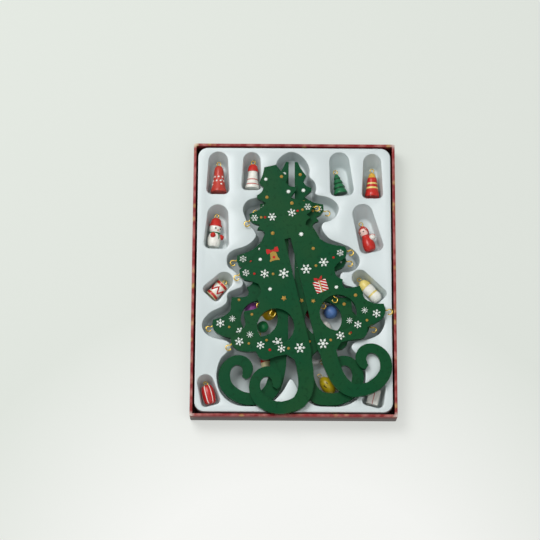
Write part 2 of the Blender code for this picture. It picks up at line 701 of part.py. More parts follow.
def add_cavity(bm):
    """Tree-shaped cavity with the pads that carry the back panel. Returns its mouth's edges."""
    place = back_place()
    line = [place @ tree_point(*share) for share in CAVITY_SHARES]
    line = smooth_run([Vector((point.x, point.y, 0.0)) for point in line], RIM_STEPS, closed=True)
    mouth_edges, _, floor_edges = add_hollow(
        bm, offset_loop(line, -EDGE_ROLL), line, offset_loop(line, WALL_DRAFT)
    )
    for share in PAD_SHARES:
        centre = place @ tree_point(*share)
        centre.z = 0.0
        foot_points = circle_points(centre, PAD_RADIUS + WALL_DRAFT, PAD_SIDES)
        foot, foot_edges = add_loop(bm, foot_points, LINER_FLOOR_Z)
        head, _ = add_loop(bm, circle_points(centre, PAD_RADIUS, PAD_SIDES), PAD_TOP_Z)
        floor_edges += foot_edges
        join_loops(bm, foot, head)
        bm.faces.new(head)
    bmesh.ops.triangle_fill(bm, use_beauty=True, use_dissolve=False, edges=floor_edges)
    return mouth_edges


def make_liner(material):
    """Vacuum-formed liner: top sheet, pockets, tree cavity with pads, and a skirt."""
    bm = bmesh.new()
    top_edges = add_skirt(bm)
    for pocket in POCKETS:
        mouth_edges, floor, _ = add_hollow(
            bm,
            disc_outline(pocket_discs(pocket, -EDGE_ROLL, -EDGE_ROLL), POCKET_STEPS),
            disc_outline(pocket_discs(pocket, 0.0, 0.0), POCKET_STEPS),
            disc_outline(pocket_discs(pocket, WALL_DRAFT, pocket.head_draft), POCKET_STEPS),
        )
        bm.faces.new(floor)
        top_edges += mouth_edges
    top_edges += add_cavity(bm)
    bmesh.ops.triangle_fill(bm, use_beauty=True, use_dissolve=False, edges=top_edges)

    bmesh.ops.recalc_face_normals(bm, faces=bm.faces)
    widest = max(bm.faces, key=lambda face: face.calc_area())
    if widest.normal.z < 0:
        bmesh.ops.reverse_faces(bm, faces=bm.faces)
    liner = add_object("liner_tray", mesh_from("liner_tray", bm), material)
    wall = liner.modifiers.new("sheet", "SOLIDIFY")
    wall.thickness = LINER_SHEET
    wall.offset = -1
    wall.use_even_offset = True
    return liner


def make_box(material):
    """Card box: four walls and a floor in one, open at the top."""
    bm = bmesh.new()
    outer = rectangle_points(BOX_WIDTH, BOX_LENGTH, BOX_CORNER, BOX_CORNER_STEPS)
    inner = rectangle_points(
        BOX_WIDTH - 2 * CARD_WALL, BOX_LENGTH - 2 * CARD_WALL, BOX_CORNER, BOX_CORNER_STEPS
    )
    base, _ = add_loop(bm, outer, 0.0)
    rim, _ = add_loop(bm, outer, BOX_DEPTH)
    lip, _ = add_loop(bm, inner, BOX_DEPTH)
    floor, _ = add_loop(bm, inner, CARD_FLOOR)
    join_loops(bm, base, rim)
    join_loops(bm, rim, lip)
    join_loops(bm, lip, floor)
    bm.faces.new(base)
    bm.faces.new(floor)
    return add_object("card_box", closed_mesh("card_box", bm), material)


def turned_mesh(ornament):
    """Turned body with a pilot bore for its screw eye, its axis along Y and the eye end at +Y."""
    bm = bmesh.new()
    stretch = 1 / math.cos(math.pi / ornament.sides)
    bore = (EYE_WIRE / 2 + BORE_GAP) * stretch
    depth = EYE_SEAT + BORE_GAP
    top = ornament.length / 2
    rows = [(top - depth, 0.0), (top - depth, bore), (top, bore)]
    widest = ornament.radius * stretch if ornament.sides == BLOCK_SIDES else ornament.radius
    rows += [(top - along * ornament.length, out * widest) for along, out in ornament.profile_shares]
    rows.append((-top, 0.0))
    verts = [bm.verts.new((radius, along, 0.0)) for along, radius in rows]
    edges = [bm.edges.new(pair) for pair in zip(verts, verts[1:])]
    bmesh.ops.rotate(bm, verts=verts, matrix=Matrix.Rotation(math.pi / ornament.sides, 3, "Y"))
    bmesh.ops.spin(
        bm, geom=verts + edges, cent=(0.0, 0.0, 0.0), axis=(0.0, 1.0, 0.0), angle=2 * math.pi,
        steps=ornament.sides, use_merge=True,
    )
    bmesh.ops.remove_doubles(bm, verts=bm.verts, dist=WELD_REACH)
    return closed_mesh(ornament.name, bm)


def add_bead(body, name, centre, radius):
    """Join a small bead to a turned body."""
    bm = bmesh.new()
    bmesh.ops.create_uvsphere(bm, u_segments=BEAD_SEGMENTS, v_segments=BEAD_RINGS, radius=radius)
    bead = bpy.data.objects.new(name, closed_mesh(name, bm))
    bpy.context.collection.objects.link(bead)
    bpy.context.view_layer.update()
    bead.matrix_world = body.matrix_world @ Matrix.Translation(centre)
    hide_cutter(bead)
    add_cut(body, bead, "UNION")


def make_ornament(ornament, wood, brass):
    """One ornament as it lies, with its screw eye."""
    body = add_object(ornament.name, turned_mesh(ornament), wood)
    turn = Matrix.Rotation(math.radians(ornament.lean), 4, "Z")
    body.matrix_world = Matrix.Translation(ornament.centre) @ turn
    path = wire_path(EYE_SEAT, EYE_STEM, EYE_LOOP_RADIUS, EYE_SWEEP)
    head = Matrix.Translation((0.0, ornament.length / 2, 0.0)) @ Matrix.Rotation(math.pi / 2, 4, "Z")
    make_wire(ornament.name + "_eye", path, EYE_WIRE, body.matrix_world @ head, brass)
    for owner, word, (across, along, up), radius in BEAD_SHARES:
        if owner == ornament.name:
            spot = Vector((across * ornament.radius, along * ornament.length, up * ornament.radius))
            add_bead(body, word, spot, radius)


def main():
    """Build the whole set."""
    clear_scene()
    card = make_material("printed_card", CARD_RED, CARD_ROUGHNESS)
    film = make_material("white_styrene", FILM_WHITE, FILM_ROUGHNESS)
    green_board = make_material("green_painted_board", BOARD_GREEN, BOARD_ROUGHNESS)
    brass = make_material("brass_wire", BRASS, BRASS_ROUGHNESS, FULLY_METALLIC)

    make_box(card)
    make_liner(film)
    front = make_panel("tree_panel_front", False, front_place(), green_board)
    back = make_panel("tree_panel_back", True, back_place(), green_board)
    bpy.context.view_layer.update()
    dress_panel("front", front, brass)
    dress_panel("back", back, brass)
    for ornament in POCKET_ORNAMENTS + CAVITY_ORNAMENTS:
        paint = make_material(ornament.name + "_paint", ornament.colour, WOOD_ROUGHNESS)
        make_ornament(ornament, paint, brass)


main()
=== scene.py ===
"""Dressed model of a flat-packed wooden tree set in its open card box.

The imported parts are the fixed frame. Smooth boards, bent wire, turned wood and a moulded liner
stand for the plain solids at the same places, and prints and painted trim are added to them.
Lengths are in metres, +Z is up, and +Y runs along the box towards the tree's top.
"""
from __future__ import annotations

import json
import logging
import math
from dataclasses import dataclass, field
from enum import Enum
from typing import Any, Iterable, Sequence

import bmesh
import bpy
from bmesh.types import BMEdge, BMesh, BMVert
from bpy.types import ID, Material, Mesh, Node, NodeSocket, NodeTree, Object
from mathutils import Matrix, Vector
from mathutils.geometry import interpolate_bezier

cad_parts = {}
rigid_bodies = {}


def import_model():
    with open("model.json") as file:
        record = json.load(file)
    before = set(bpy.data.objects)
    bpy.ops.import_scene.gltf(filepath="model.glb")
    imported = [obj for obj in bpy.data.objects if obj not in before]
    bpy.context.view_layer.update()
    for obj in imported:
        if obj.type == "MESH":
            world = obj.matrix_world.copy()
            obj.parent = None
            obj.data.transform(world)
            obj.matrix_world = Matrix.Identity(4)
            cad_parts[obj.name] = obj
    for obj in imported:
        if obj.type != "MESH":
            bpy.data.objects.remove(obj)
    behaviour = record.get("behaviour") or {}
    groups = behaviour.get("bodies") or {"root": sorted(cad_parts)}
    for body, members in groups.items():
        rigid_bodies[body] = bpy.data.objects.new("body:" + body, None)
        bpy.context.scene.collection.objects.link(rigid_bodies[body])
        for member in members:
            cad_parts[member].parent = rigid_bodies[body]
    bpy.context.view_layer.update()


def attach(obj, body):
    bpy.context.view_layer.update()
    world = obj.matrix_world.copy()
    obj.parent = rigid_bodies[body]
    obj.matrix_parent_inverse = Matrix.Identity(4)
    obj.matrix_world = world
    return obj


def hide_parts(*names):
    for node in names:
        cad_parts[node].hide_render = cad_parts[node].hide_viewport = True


LOG = logging.getLogger("boxed_tree_set")
MM = 0.001
Ring = list[BMVert]
Outline = list[Vector]
Disc = tuple[Vector, float]
Pair = tuple[float, float]
Triple = tuple[float, float, float]
Colour = tuple[float, float, float, float]


class Hue(Enum):
    """Colours of the set as sRGB hex values."""

    BOARD_GREEN = "#094728"
    BOARD_OLIVE = "#1A4A28"
    BOARD_DEEP = "#06311A"
    CARD_RED = "#7F1F24"
    CARD_ROSE = "#8E2B2B"
    # Painted shade: the dark brown that the card's walls turn to below the rim.
    CARD_DEEP = "#3E1C18"
    CARD_WORN = "#C98C82"
    CARD_BARE = "#E9E4DA"
    CARD_GOLD = "#B79A55"
    STYRENE = "#CCD6D6"
    BRASS = "#E2C258"
    BRASS_DULL = "#B5964C"
    INK_WHITE = "#EDF3EC"
    INK_GOLD = "#B08A3E"
    INK_RED = "#BC1B18"
    INK_BLUE = "#A9CBD0"
    BELL_GOLD = "#A98839"
    RED = "#C42B22"
    RED_SOFT = "#BC4034"
    WHITE = "#EDEBE2"
    CREAM = "#E6D9A8"
    LEAF = "#1E6F42"
    # Painted shade in the mini tree's grooves under each tier.
    LEAF_DEEP = "#0C4226"
    GOLD = "#DDAE42"
    BUTTER = "#E7D27C"
    SKIN = "#EBC9BE"
    BLACK = "#1B1B1B"
    CARROT = "#D9682A"
    PURPLE = "#A85CAC"
    MUSTARD = "#BF9A0A"
    OCHRE = "#B09A14"
    BALL_GREEN = "#22844C"
    BALL_RED = "#9A211F"
    BALL_BLUE = "#5A80BC"
    SILVER = "#BFC1BE"
    FLOOR = "#DFE4DD"
    FLOOR_LIT = "#F6F7F4"

    @property
    def linear(self) -> Colour:
        """Linear RGBA value of this colour."""
        return linear_from_hex(self.value)

    def scaled(self, share: float) -> Colour:
        """Linear RGBA value of this colour, made lighter or darker by a share."""
        return (*(min(1.0, part * share) for part in self.linear[:3]), 1.0)


def linear_from_hex(code: str) -> Colour:
    """Turn an sRGB hex value into a linear colour, by the standard's own curve.

    Args:
        code: The colour as #RRGGBB.

    Returns:
        Linear red, green and blue, and an alpha of one.
    """
    parts = [int(code[start:start + 2], 16) / 255 for start in (1, 3, 5)]
    red, green, blue = (
        part / 12.92 if part <= 0.04045 else ((part + 0.055) / 1.055) ** 2.4 for part in parts
    )
    return red, green, blue, 1.0


Coats = tuple[tuple[float, Hue], ...]
# Which of the record's material slots a trim's colour belongs to.
TRIM_SLOTS: dict[Hue, str] = {
    Hue.INK_WHITE: "white_paint", Hue.WHITE: "white_paint",
    Hue.INK_RED: "red_paint", Hue.RED: "red_paint", Hue.RED_SOFT: "red_paint",
    Hue.INK_GOLD: "yellow_paint", Hue.BELL_GOLD: "yellow_paint", Hue.CARROT: "yellow_paint",
    Hue.LEAF: "green_paint", Hue.INK_BLUE: "blue_paint", Hue.BLACK: "blue_paint",
}


# Node helpers


def add_node(tree: NodeTree, kind: str, settings: dict[Any, Any] | None = None) -> Node:
    """Add a node with its settings and links.

    Args:
        tree: The node tree that takes the node.
        kind: The node's type name.
        settings: Values by property name, and values or linked sockets by input name or number.

    Returns:
        The new node.
    """
    node = tree.nodes.new(kind)
    for key, value in (settings or {}).items():
        if isinstance(value, NodeSocket):
            tree.links.new(value, node.inputs[key])
        elif isinstance(key, str) and hasattr(node, key):
            setattr(node, key, value)
        else:
            node.inputs[key].default_value = value
    return node


def faded(
    tree: NodeTree, value: NodeSocket, span: Pair, first: Any, second: Any, most: float = 1.0
) -> NodeSocket:
    """Fade from one colour to another as a value runs over a span.

    Args:
        tree: The node tree.
        value: Output socket with the value.
        span: The value where only the first shows, and where the second shows most.
        first: A socket or a linear colour.
        second: A socket or a linear colour.
        most: Largest share of the second.

    Returns:
        The output socket of the two together.
    """
    share = add_node(
        tree, "ShaderNodeMapRange",
        {"From Min": span[0], "From Max": span[1], "To Max": most, "Value": value},
    )
    mix = add_node(
        tree, "ShaderNodeMix", {"data_type": "RGBA", 0: share.outputs["Result"], 6: first, 7: second}
    )
    return mix.outputs[2]


def seen_by(tree: NodeTree, *kinds: str) -> NodeSocket:
    """Tell the named kinds of ray from all others.

    Args:
        tree: The node tree that takes the nodes.
        kinds: Names of the light path's outputs.

    Returns:
        An output socket that is one for them and nought for the others.
    """
    path = add_node(tree, "ShaderNodeLightPath")
    seen = path.outputs[kinds[0]]
    for kind in kinds[1:]:
        either = add_node(
            tree, "ShaderNodeMath", {"operation": "MAXIMUM", 0: seen, 1: path.outputs[kind]}
        )
        seen = either.outputs[0]
    return seen


# Finishes


@dataclass(frozen=True)
class Grain:
    """Soft lumps on the piece's own metres: their size, and their octaves of finer lumps."""

    size: float
    detail: float

    def output(self, tree: NodeTree) -> NodeSocket:
        """Add the lumps to a tree.

        Args:
            tree: The node tree that takes the nodes.

        Returns:
            The lumps' output socket.
        """
        place = add_node(tree, "ShaderNodeTexCoord")
        mapped = add_node(
            tree, "ShaderNodeMapping",
            {"Scale": Vector((1, 1, 1)) / self.size, "Vector": place.outputs["Object"]},
        )
        noise = add_node(
            tree, "ShaderNodeTexNoise",
            {"Scale": 1.0, "Detail": self.detail, "Vector": mapped.outputs["Vector"]},
        )
        return noise.outputs["Fac"]


@dataclass(frozen=True)
class Blotches(Grain):
    """Lumps that let a second colour through, from where it starts to where it is all there."""

    low: float
    high: float

    def over(self, tree: NodeTree, first: Any, second: Any) -> NodeSocket:
        """Return the first colour with blotches of the second over it."""
        return faded(tree, self.output(tree), (self.low, self.high), first, second)


@dataclass(frozen=True)
class Relief(Grain):
    """Lumps that the light picks out: the share that shows, and their height in metres."""

    strength: float
    depth: float

    def raise_on(self, tree: NodeTree, shader: Node) -> None:
        """Give a shader this relief.

        Args:
            tree: The material's node tree.
            shader: The shader that takes it.
        """
        bump = add_node(
            tree, "ShaderNodeBump",
            {"Strength": self.strength, "Distance": self.depth, "Height": self.output(tree)},
        )
        tree.links.new(bump.outputs["Normal"], shader.inputs["Normal"])


@dataclass(frozen=True)
class Finish:
    """A finish with one shader: what every coat here starts from."""

    name: str
    roughness: float = 0.4
    metallic: float = 0.0
    ior: float = 1.5
    coat: float = 0.0
    coat_roughness: float = 0.1
    relief: Relief | None = None

    def colour(self, tree: NodeTree) -> NodeSocket:
        """Add the finish's colour to a tree and return its output socket."""
        raise NotImplementedError

    def build(self) -> Material:
        """Return the finished material.

        Returns:
            The material, named for what it is made of.
        """
        material = bpy.data.materials.new(self.name)
        material.use_nodes = True
        tree = material.node_tree
        shader = tree.nodes["Principled BSDF"]
        plain = {
            "Roughness": self.roughness, "Metallic": self.metallic, "IOR": self.ior,
            "Coat Weight": self.coat, "Coat Roughness": self.coat_roughness,
        }
        for label, value in plain.items():
            shader.inputs[label].default_value = value
        tree.links.new(self.colour(tree), shader.inputs["Base Color"])
        if self.relief:
            self.relief.raise_on(tree, shader)
        return material


@dataclass(frozen=True)
class WrappingPaper(Finish):
    """Coated paper glued round grey board, printed red with soft gold flecks.

    The print's red drifts over a few centimetres, and painted shade turns it dark brown down the walls; the
    rim is rubbed pale where the paper folds, and the corners are worn through to the bare board.
    """

    name: str = "printed_wrapping_paper"
    roughness: float = 0.42
    ior: float = 1.28
    relief: Relief | None = Relief(0.0016, 2.0, 0.25, 0.0002)
    drift: Blotches = Blotches(0.05, 3.0, 0.35, 0.68)
    rub: Blotches = Blotches(0.009, 4.0, 0.42, 0.9)
    fleck: float = 0.011
    fleck_span: Pair = (0.34, 0.12)
    fleck_share: float = 0.75
    rim: float = 0.026
    rim_depth: float = 0.0012
    # Painted shade: heights below the rim over which the walls turn dark brown.
    painted_shade_span: Pair = (0.001, 0.012)
    wear: float = 0.006
    half_sizes: Pair = (0.1125, 0.1551)

    def colour(self, tree: NodeTree) -> NodeSocket:
        """Add the print, the painted shade down the walls, and what wear has done to it.

        Args:
            tree: The node tree that takes the nodes.

        Returns:
            The colour's output socket.
        """
        red = self.drift.over(tree, Hue.CARD_RED.linear, Hue.CARD_ROSE.linear)
        place = add_node(tree, "ShaderNodeTexCoord").outputs["Object"]
        mapped = add_node(
            tree, "ShaderNodeMapping", {"Scale": Vector((1, 1, 1)) / self.fleck, "Vector": place}
        )
        cells = add_node(
            tree, "ShaderNodeTexVoronoi",
            {"Scale": 1.0, "Randomness": 1.0, "Vector": mapped.outputs["Vector"]},
        )
        distance = cells.outputs["Distance"]
        gilded = faded(tree, distance, self.fleck_span, red, Hue.CARD_GOLD.linear, self.fleck_share)
        axes = add_node(tree, "ShaderNodeSeparateXYZ", {0: place})
        high = axes.outputs["Z"]
        # Painted shade: the walls turn dark brown below the rim, where the shade falls.
        below = (self.rim - self.painted_shade_span[0], self.rim - self.painted_shade_span[1])
        colour = faded(tree, high, below, gilded, Hue.CARD_DEEP.linear)
        spans = [(high, self.rim - self.rim_depth, self.rim)]
        spans.append((self.rub.output(tree), self.rub.low, self.rub.high))
        for axis, half in zip("XY", self.half_sizes):
            out = add_node(tree, "ShaderNodeMath", {"operation": "ABSOLUTE", 0: axes.outputs[axis]})
            spans.append((out.outputs[0], half - self.wear, half))
        at_rim, rubbed, near_side, near_end = [
            add_node(tree, "ShaderNodeMapRange", {"From Min": low, "From Max": top, "Value": value})
            for value, low, top in spans
        ]
        corner = add_node(
            tree, "ShaderNodeMath", {"operation": "MULTIPLY", 0: near_side.outputs[0], 1: near_end.outputs[0]}
        )
        for worn, hue in ((rubbed, Hue.CARD_WORN), (corner, Hue.CARD_BARE)):
            share = add_node(
                tree, "ShaderNodeMath", {"operation": "MULTIPLY", 0: at_rim.outputs[0], 1: worn.outputs[0]}
            )
            mix = add_node(
                tree, "ShaderNodeMix", {"data_type": "RGBA", 0: share.outputs[0], 6: colour, 7: hue.linear}
            )
            colour = mix.outputs[2]
        return colour


@dataclass(frozen=True)
class FormedStyrene(Finish):
    """White polystyrene sheet, vacuum-formed: smooth, faintly wavy and softly glossy."""

    name: str = "vacuum_formed_styrene"
    roughness: float = 0.36
    ior: float = 1.55
    relief: Relief | None = Relief(0.022, 1.0, 0.3, 0.0005)
    drift: Blotches = Blotches(0.06, 1.0, 0.3, 0.7)
    paler: float = 1.04

    def colour(self, tree: NodeTree) -> NodeSocket:
        """Add the sheet's white, a little paler in places, and return its output socket."""
        return self.drift.over(tree, Hue.STYRENE.linear, Hue.STYRENE.scaled(self.paler))


@dataclass(frozen=True)
class BoardPaint(Finish):
    """Satin green paint sprayed on cut fibreboard: faint orange peel, and small drifts of tone."""

    name: str = "sprayed_satin_green"
    roughness: float = 0.27
    ior: float = 1.18
    coat: float = 0.12
    coat_roughness: float = 0.08
    relief: Relief | None = Relief(0.0013, 2.0, 0.2, 0.0002)
    drift: Blotches = Blotches(0.045, 3.0, 0.42, 0.75)
    speck: Blotches = Blotches(0.004, 3.0, 0.55, 0.85)

    def colour(self, tree: NodeTree) -> NodeSocket:
        """Add the green with olive drifts and dark specks, and return its output socket."""
        tone = self.drift.over(tree, Hue.BOARD_GREEN.linear, Hue.BOARD_OLIVE.linear)
        return self.speck.over(tree, tone, Hue.BOARD_DEEP.linear)


@dataclass(frozen=True)
class BrassWire(Finish):
    """Bright drawn brass wire with darker lacquer in small patches."""

    name: str = "drawn_brass_wire"
    roughness: float = 0.24
    metallic: float = 1.0
    tarnish: Blotches = Blotches(0.003, 2.0, 0.45, 0.8)

    def colour(self, tree: NodeTree) -> NodeSocket:
        """Add the brass and its dull patches, and return its output socket."""
        return self.tarnish.over(tree, Hue.BRASS.linear, Hue.BRASS_DULL.linear)


@dataclass(frozen=True)
class Ink(Finish):
    """Screen-printed ink or brushed trim, laid thinly: matt, and darker where it is thinnest."""

    name: str = "screen_ink"
    hue: Hue = Hue.INK_WHITE
    roughness: float = 0.5
    ior: float = 1.3
    thin: Blotches = Blotches(0.0012, 2.0, 0.4, 0.75)
    darker: float = 0.8

    def colour(self, tree: NodeTree) -> NodeSocket:
        """Add the ink's hue and its thin places, and return its output socket."""
        return self.thin.over(tree, self.hue.linear, self.hue.scaled(self.darker))


class Along(Enum):
    """Which way coats of paint change on a turned piece, as an axis of its UV map."""

    LENGTH = "Y"
    ROUND = "X"


@dataclass(frozen=True)
class TurnedPaint(Finish):
    """Gloss enamel dipped or brushed on turned wood, in bands along it or stripes round it.

    The brush leaves deeper patches of the same hue, and low ridges that break up the highlight.
    """

    name: str = "gloss_enamel"
    roughness: float = 0.3
    ior: float = 1.4
    coat: float = 0.18
    relief: Relief | None = Relief(0.0022, 1.0, 0.15, 0.0002)
    brushed: Blotches = Blotches(0.0035, 3.0, 0.45, 0.95)
    deeper: Pair = (1.05, 0.72)
    coats: Coats = ((0.0, Hue.RED),)
    way: Along = Along.LENGTH
    facing: Pair | None = None
    feather: float = 0.015

    def colour(self, tree: NodeTree) -> NodeSocket:
        """Add the coats and their deeper patches.

        Args:
            tree: The node tree that takes the nodes.

        Returns:
            The colour's output socket.
        """
        wrap = add_node(tree, "ShaderNodeUVMap", {"uv_map": "turned"})
        axes = add_node(tree, "ShaderNodeSeparateXYZ", {0: wrap.outputs["UV"]})
        ramp = add_node(tree, "ShaderNodeValToRGB", {0: axes.outputs[self.way.value]})
        self.set_coats(ramp)
        painted = ramp.outputs["Color"]
        if self.facing:
            painted = self.hooded(tree, axes.outputs["X"], painted)
        saturation, value = self.deeper
        deep = add_node(
            tree, "ShaderNodeHueSaturation", {"Saturation": saturation, "Value": value, "Color": painted}
        )
        return self.brushed.over(tree, painted, deep.outputs["Color"])

    def set_coats(self, ramp: Node) -> None:
        """Give a colour ramp the coats, each of which holds up to where the next one starts.

        Args:
            ramp: The colour ramp node.
        """
        line = ramp.color_ramp
        line.interpolation = "CONSTANT"
        while len(line.elements) < len(self.coats):
            line.elements.new(1.0)
        while len(line.elements) > len(self.coats):
            line.elements.remove(line.elements[-1])
        for element, (place, hue) in zip(line.elements, self.coats):
            element.position = place
            element.color = hue.linear

    def hooded(self, tree: NodeTree, turn: NodeSocket, painted: NodeSocket) -> NodeSocket:
        """Keep the bands on the facing side and lay the first coat over the rest.

        Args:
            tree: The material's node tree.
            turn: Output socket with the share of a turn from the underside.
            painted: Output socket with the bands' colour.

        Returns:
            The output socket of both coats together.
        """
        middle, half = self.facing
        off = add_node(tree, "ShaderNodeMath", {"operation": "SUBTRACT", 0: turn, 1: middle})
        gap = add_node(tree, "ShaderNodeMath", {"operation": "ABSOLUTE", 0: off.outputs[0]})
        hood = self.coats[0][1].linear
        return faded(tree, gap.outputs[0], (half, half + self.feather), painted, hood)


@dataclass(frozen=True)
class PaleTable(Finish):
    """Matt pale table top, with a paler pool of light in front of the box.

    The camera, glass and metal see it partly as its own light, so that it stays as pale to them.
    """

    name: str = "pale_table"
    roughness: float = 0.9
    pool_place: Triple = (0.0, -0.42, 0.0)
    pool_span: Pair = (0.42, 0.2)
    glow: float = 0.6

    def colour(self, tree: NodeTree) -> NodeSocket:
        """Add the table's tone and the pool.

        Args:
            tree: The node tree that takes the nodes.

        Returns:
            The colour's output socket.
        """
        place = add_node(tree, "ShaderNodeTexCoord")
        reach = add_node(
            tree, "ShaderNodeVectorMath",
            {"operation": "DISTANCE", 0: place.outputs["Object"], 1: Vector(self.pool_place)},
        )
        return faded(
            tree, reach.outputs["Value"], self.pool_span, Hue.FLOOR.linear, Hue.FLOOR_LIT.linear
        )

    def build(self) -> Material:
        """Return the finished material, with its glow over the shader.

        Returns:
            The material, which glows a little where the camera sees it, also in reflections.
        """
        material = super().build()
        tree = material.node_tree
        shader = tree.nodes["Principled BSDF"]
        tone = shader.inputs["Base Color"].links[0].from_socket
        seen = seen_by(tree, "Is Camera Ray", "Is Glossy Ray", "Is Transmission Ray")
        share = add_node(tree, "ShaderNodeMath", {"operation": "MULTIPLY", 0: seen, 1: self.glow})
        light = add_node(tree, "ShaderNodeEmission", {"Strength": 1.0, "Color": tone})
        both = add_node(
            tree, "ShaderNodeMixShader", {0: share.outputs[0], 1: shader.outputs[0], 2: light.outputs[0]}
        )
        tree.links.new(both.outputs[0], tree.nodes["Material Output"].inputs["Surface"])
        return material


# Curves in plan


def spoke(turn: float, reach: float) -> Vector:
    """Point in plan at a turn from +X and a reach from the middle."""
    return Vector((math.cos(turn), math.sin(turn), 0.0)) * reach


def plan(pairs: Iterable[Pair], scale: float = 1.0) -> Outline:
    """Points in plan from pairs of coordinates."""
    return [Vector((x, y, 0.0)) * scale for x, y in pairs]


def placed(spot: Sequence[float], turn: float = 0.0) -> Matrix:
    """Place at a spot, with a turn about Z in radians."""
    return Matrix.Translation(spot) @ Matrix.Rotation(turn, 4, "Z")


def quarter(steps: int) -> list[float]:
    """Even turns from nought to a right angle."""
    return [math.pi / 2 * step / steps for step in range(steps + 1)]


def smooth_run(points: Sequence[Vector], steps: int, closed: bool = False) -> Outline:
    """Run a smooth curve through points.

    Args:
        points: The points, in order.
        steps: Steps from each point to the next.
        closed: Whether the curve closes on itself.

    Returns:
        Points along the curve.
    """
    count = len(points)
    tangents = []
    for index, point in enumerate(points):
        before = points[index - 1] if index or closed else point
        after = points[(index + 1) % count] if index < count - 1 or closed else point
        tangents.append((after - before).normalized())
    curve: Outline = []
    for index in range(count if closed else count - 1):
        start, end = points[index], points[(index + 1) % count]
        reach = (end - start).length / 3
        leaving = start + tangents[index] * reach
        arriving = end - tangents[(index + 1) % count] * reach
        curve.extend(Vector(p) for p in interpolate_bezier(start, leaving, arriving, end, steps + 1)[:-1])
    if not closed:
        curve.append(points[-1].copy())
    return curve


def soften(rows: Sequence[Pair], rounds: int) -> list[Pair]:
    """Round the corners of a turned profile by cutting them.

    Args:
        rows: Places along and out, from end to end.
        rounds: How often the corners are cut.

    Returns:
        The softened profile, with its ends kept.
    """
    for _ in range(rounds):
        cut = [rows[0]]
        for (a, p), (b, q) in zip(rows, rows[1:]):
            cut += [(a + (b - a) * share, p + (q - p) * share) for share in (0.25, 0.75)]
        rows = cut + [rows[-1]]
    return list(rows)


def circle(centre: Vector, radius: float, steps: int) -> Outline:
    """Return the points of a circle in plan."""
    return [centre + spoke(2 * math.pi * step / steps, radius) for step in range(steps)]


def outer_normal(first: Disc, second: Disc) -> float:
    """Return the direction that is square to the outer tangent of two discs."""
    line = second[0] - first[0]
    return math.atan2(line.y, line.x) - math.acos((first[1] - second[1]) / line.length)


def round_discs(discs: Sequence[Disc], steps: int) -> Outline:
    """Run a taut line round discs.

    Args:
        discs: Centres and radii, anticlockwise.
        steps: Steps of each arc.

    Returns:
        The closed outline.
    """
    points: Outline = []
    for index, (centre, radius) in enumerate(discs):
        start = outer_normal(discs[index - 1], discs[index])
        end = outer_normal(discs[index], discs[(index + 1) % len(discs)])
        while end < start:
            end += 2 * math.pi
        points += [
            centre + spoke(start + (end - start) * step / steps, radius) for step in range(steps + 1)
        ]
    return points


def rectangle(width: float, length: float, corner: float, steps: int) -> Outline:
    """Return the outline of a rectangle with round corners."""
    x, y = width / 2 - corner, length / 2 - corner
    return round_discs([(point, corner) for point in plan(((x, -y), (x, y), (-x, y), (-x, -y)))], steps)


def drawn_in(points: Outline, distance: float) -> Outline:
    """Move a clockwise outline inward, square to its neighbours.

    Args:
        points: The closed outline.
        distance: How far it moves, in metres.

    Returns:
        The smaller outline.
    """
    moved = []
    for index, point in enumerate(points):
        along = (points[(index + 1) % len(points)] - points[index - 1]).normalized()
        moved.append(point + Vector((along.y, -along.x, 0.0)) * distance)
    return moved


def clipped(polygon: Outline, normal: Vector, limit: float) -> Outline:
    """Keep the part of a convex polygon on one side of a line.

    Args:
        polygon: The corners, in order.
        normal: Direction that points away from what is kept.
        limit: How far along the normal the line lies.

    Returns:
        The corners of what is kept.
    """
    kept: Outline = []
    for first, second in zip(polygon, polygon[1:] + polygon[:1]):
        a, b = first.dot(normal) - limit, second.dot(normal) - limit
        if a <= 0:
            kept.append(first)
        if a * b < 0:
            kept.append(first.lerp(second, a / (a - b)))
    return kept


# Mesh helpers


def add_ring(bm: BMesh, points: Iterable[Vector], z: float) -> Ring:
    """Add a ring of points at one height."""
    return [bm.verts.new((point.x, point.y, z)) for point in points]


def ring_edges(bm: BMesh, ring: Ring) -> list[BMEdge]:
    """Return a ring's edges, and make those that are missing."""
    pairs = [(ring[index - 1], ring[index]) for index in range(len(ring))]
    return [bm.edges.get(pair) or bm.edges.new(pair) for pair in pairs]


def bridge(bm: BMesh, rings: Sequence[Ring]) -> None:
    """Close the bands between rings of equal counts, each to the next.

    Args:
        bm: The mesh being built.
        rings: The rings in order.
    """
    for first, second in zip(rings, rings[1:]):
        for index in range(len(first)):
            bm.faces.new((first[index - 1], first[index], second[index], second[index - 1]))


def fill(bm: BMesh, rings: Sequence[Ring]) -> None:
    """Fill the flat space between an outer ring and the rings in it."""
    edges = [edge for ring in rings for edge in ring_edges(bm, ring)]
    bmesh.ops.triangle_fill(bm, use_beauty=True, use_dissolve=False, edges=edges)


def put(name: str, data: ID) -> Object:
    """Put a mesh, a lamp or a camera in the scene, at the origin.

    Args:
        name: The object's name.
        data: What it shows.

    Returns:
        The new object.
    """
    item = bpy.data.objects.new(name, data)
    bpy.context.scene.collection.objects.link(item)
    return item


def show_piece(name: str, mesh: Mesh, material: Material, sharp: float = 35.0) -> Object:
    """Put a mesh in the scene as a piece.

    Args:
        name: The piece's name.
        mesh: Its mesh, in its place.
        material: What it wears.
        sharp: Faces that meet at more than this many degrees keep a sharp edge.

    Returns:
        The new object, at the origin.
    """
    mesh.shade_smooth()
    mesh.set_sharp_from_angle(angle=math.radians(sharp))
    mesh.materials.clear()
    mesh.materials.append(material)
    return put(name, mesh)


def frame_piece(piece: Object, body: str, slot: str, *nodes: str) -> None:
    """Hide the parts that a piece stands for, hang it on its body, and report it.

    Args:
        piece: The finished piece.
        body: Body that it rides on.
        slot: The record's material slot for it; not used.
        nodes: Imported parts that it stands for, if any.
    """
    if nodes:
        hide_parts(*nodes)
    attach(piece, body)
    LOG.info("%s rides on %s", piece.name, body)


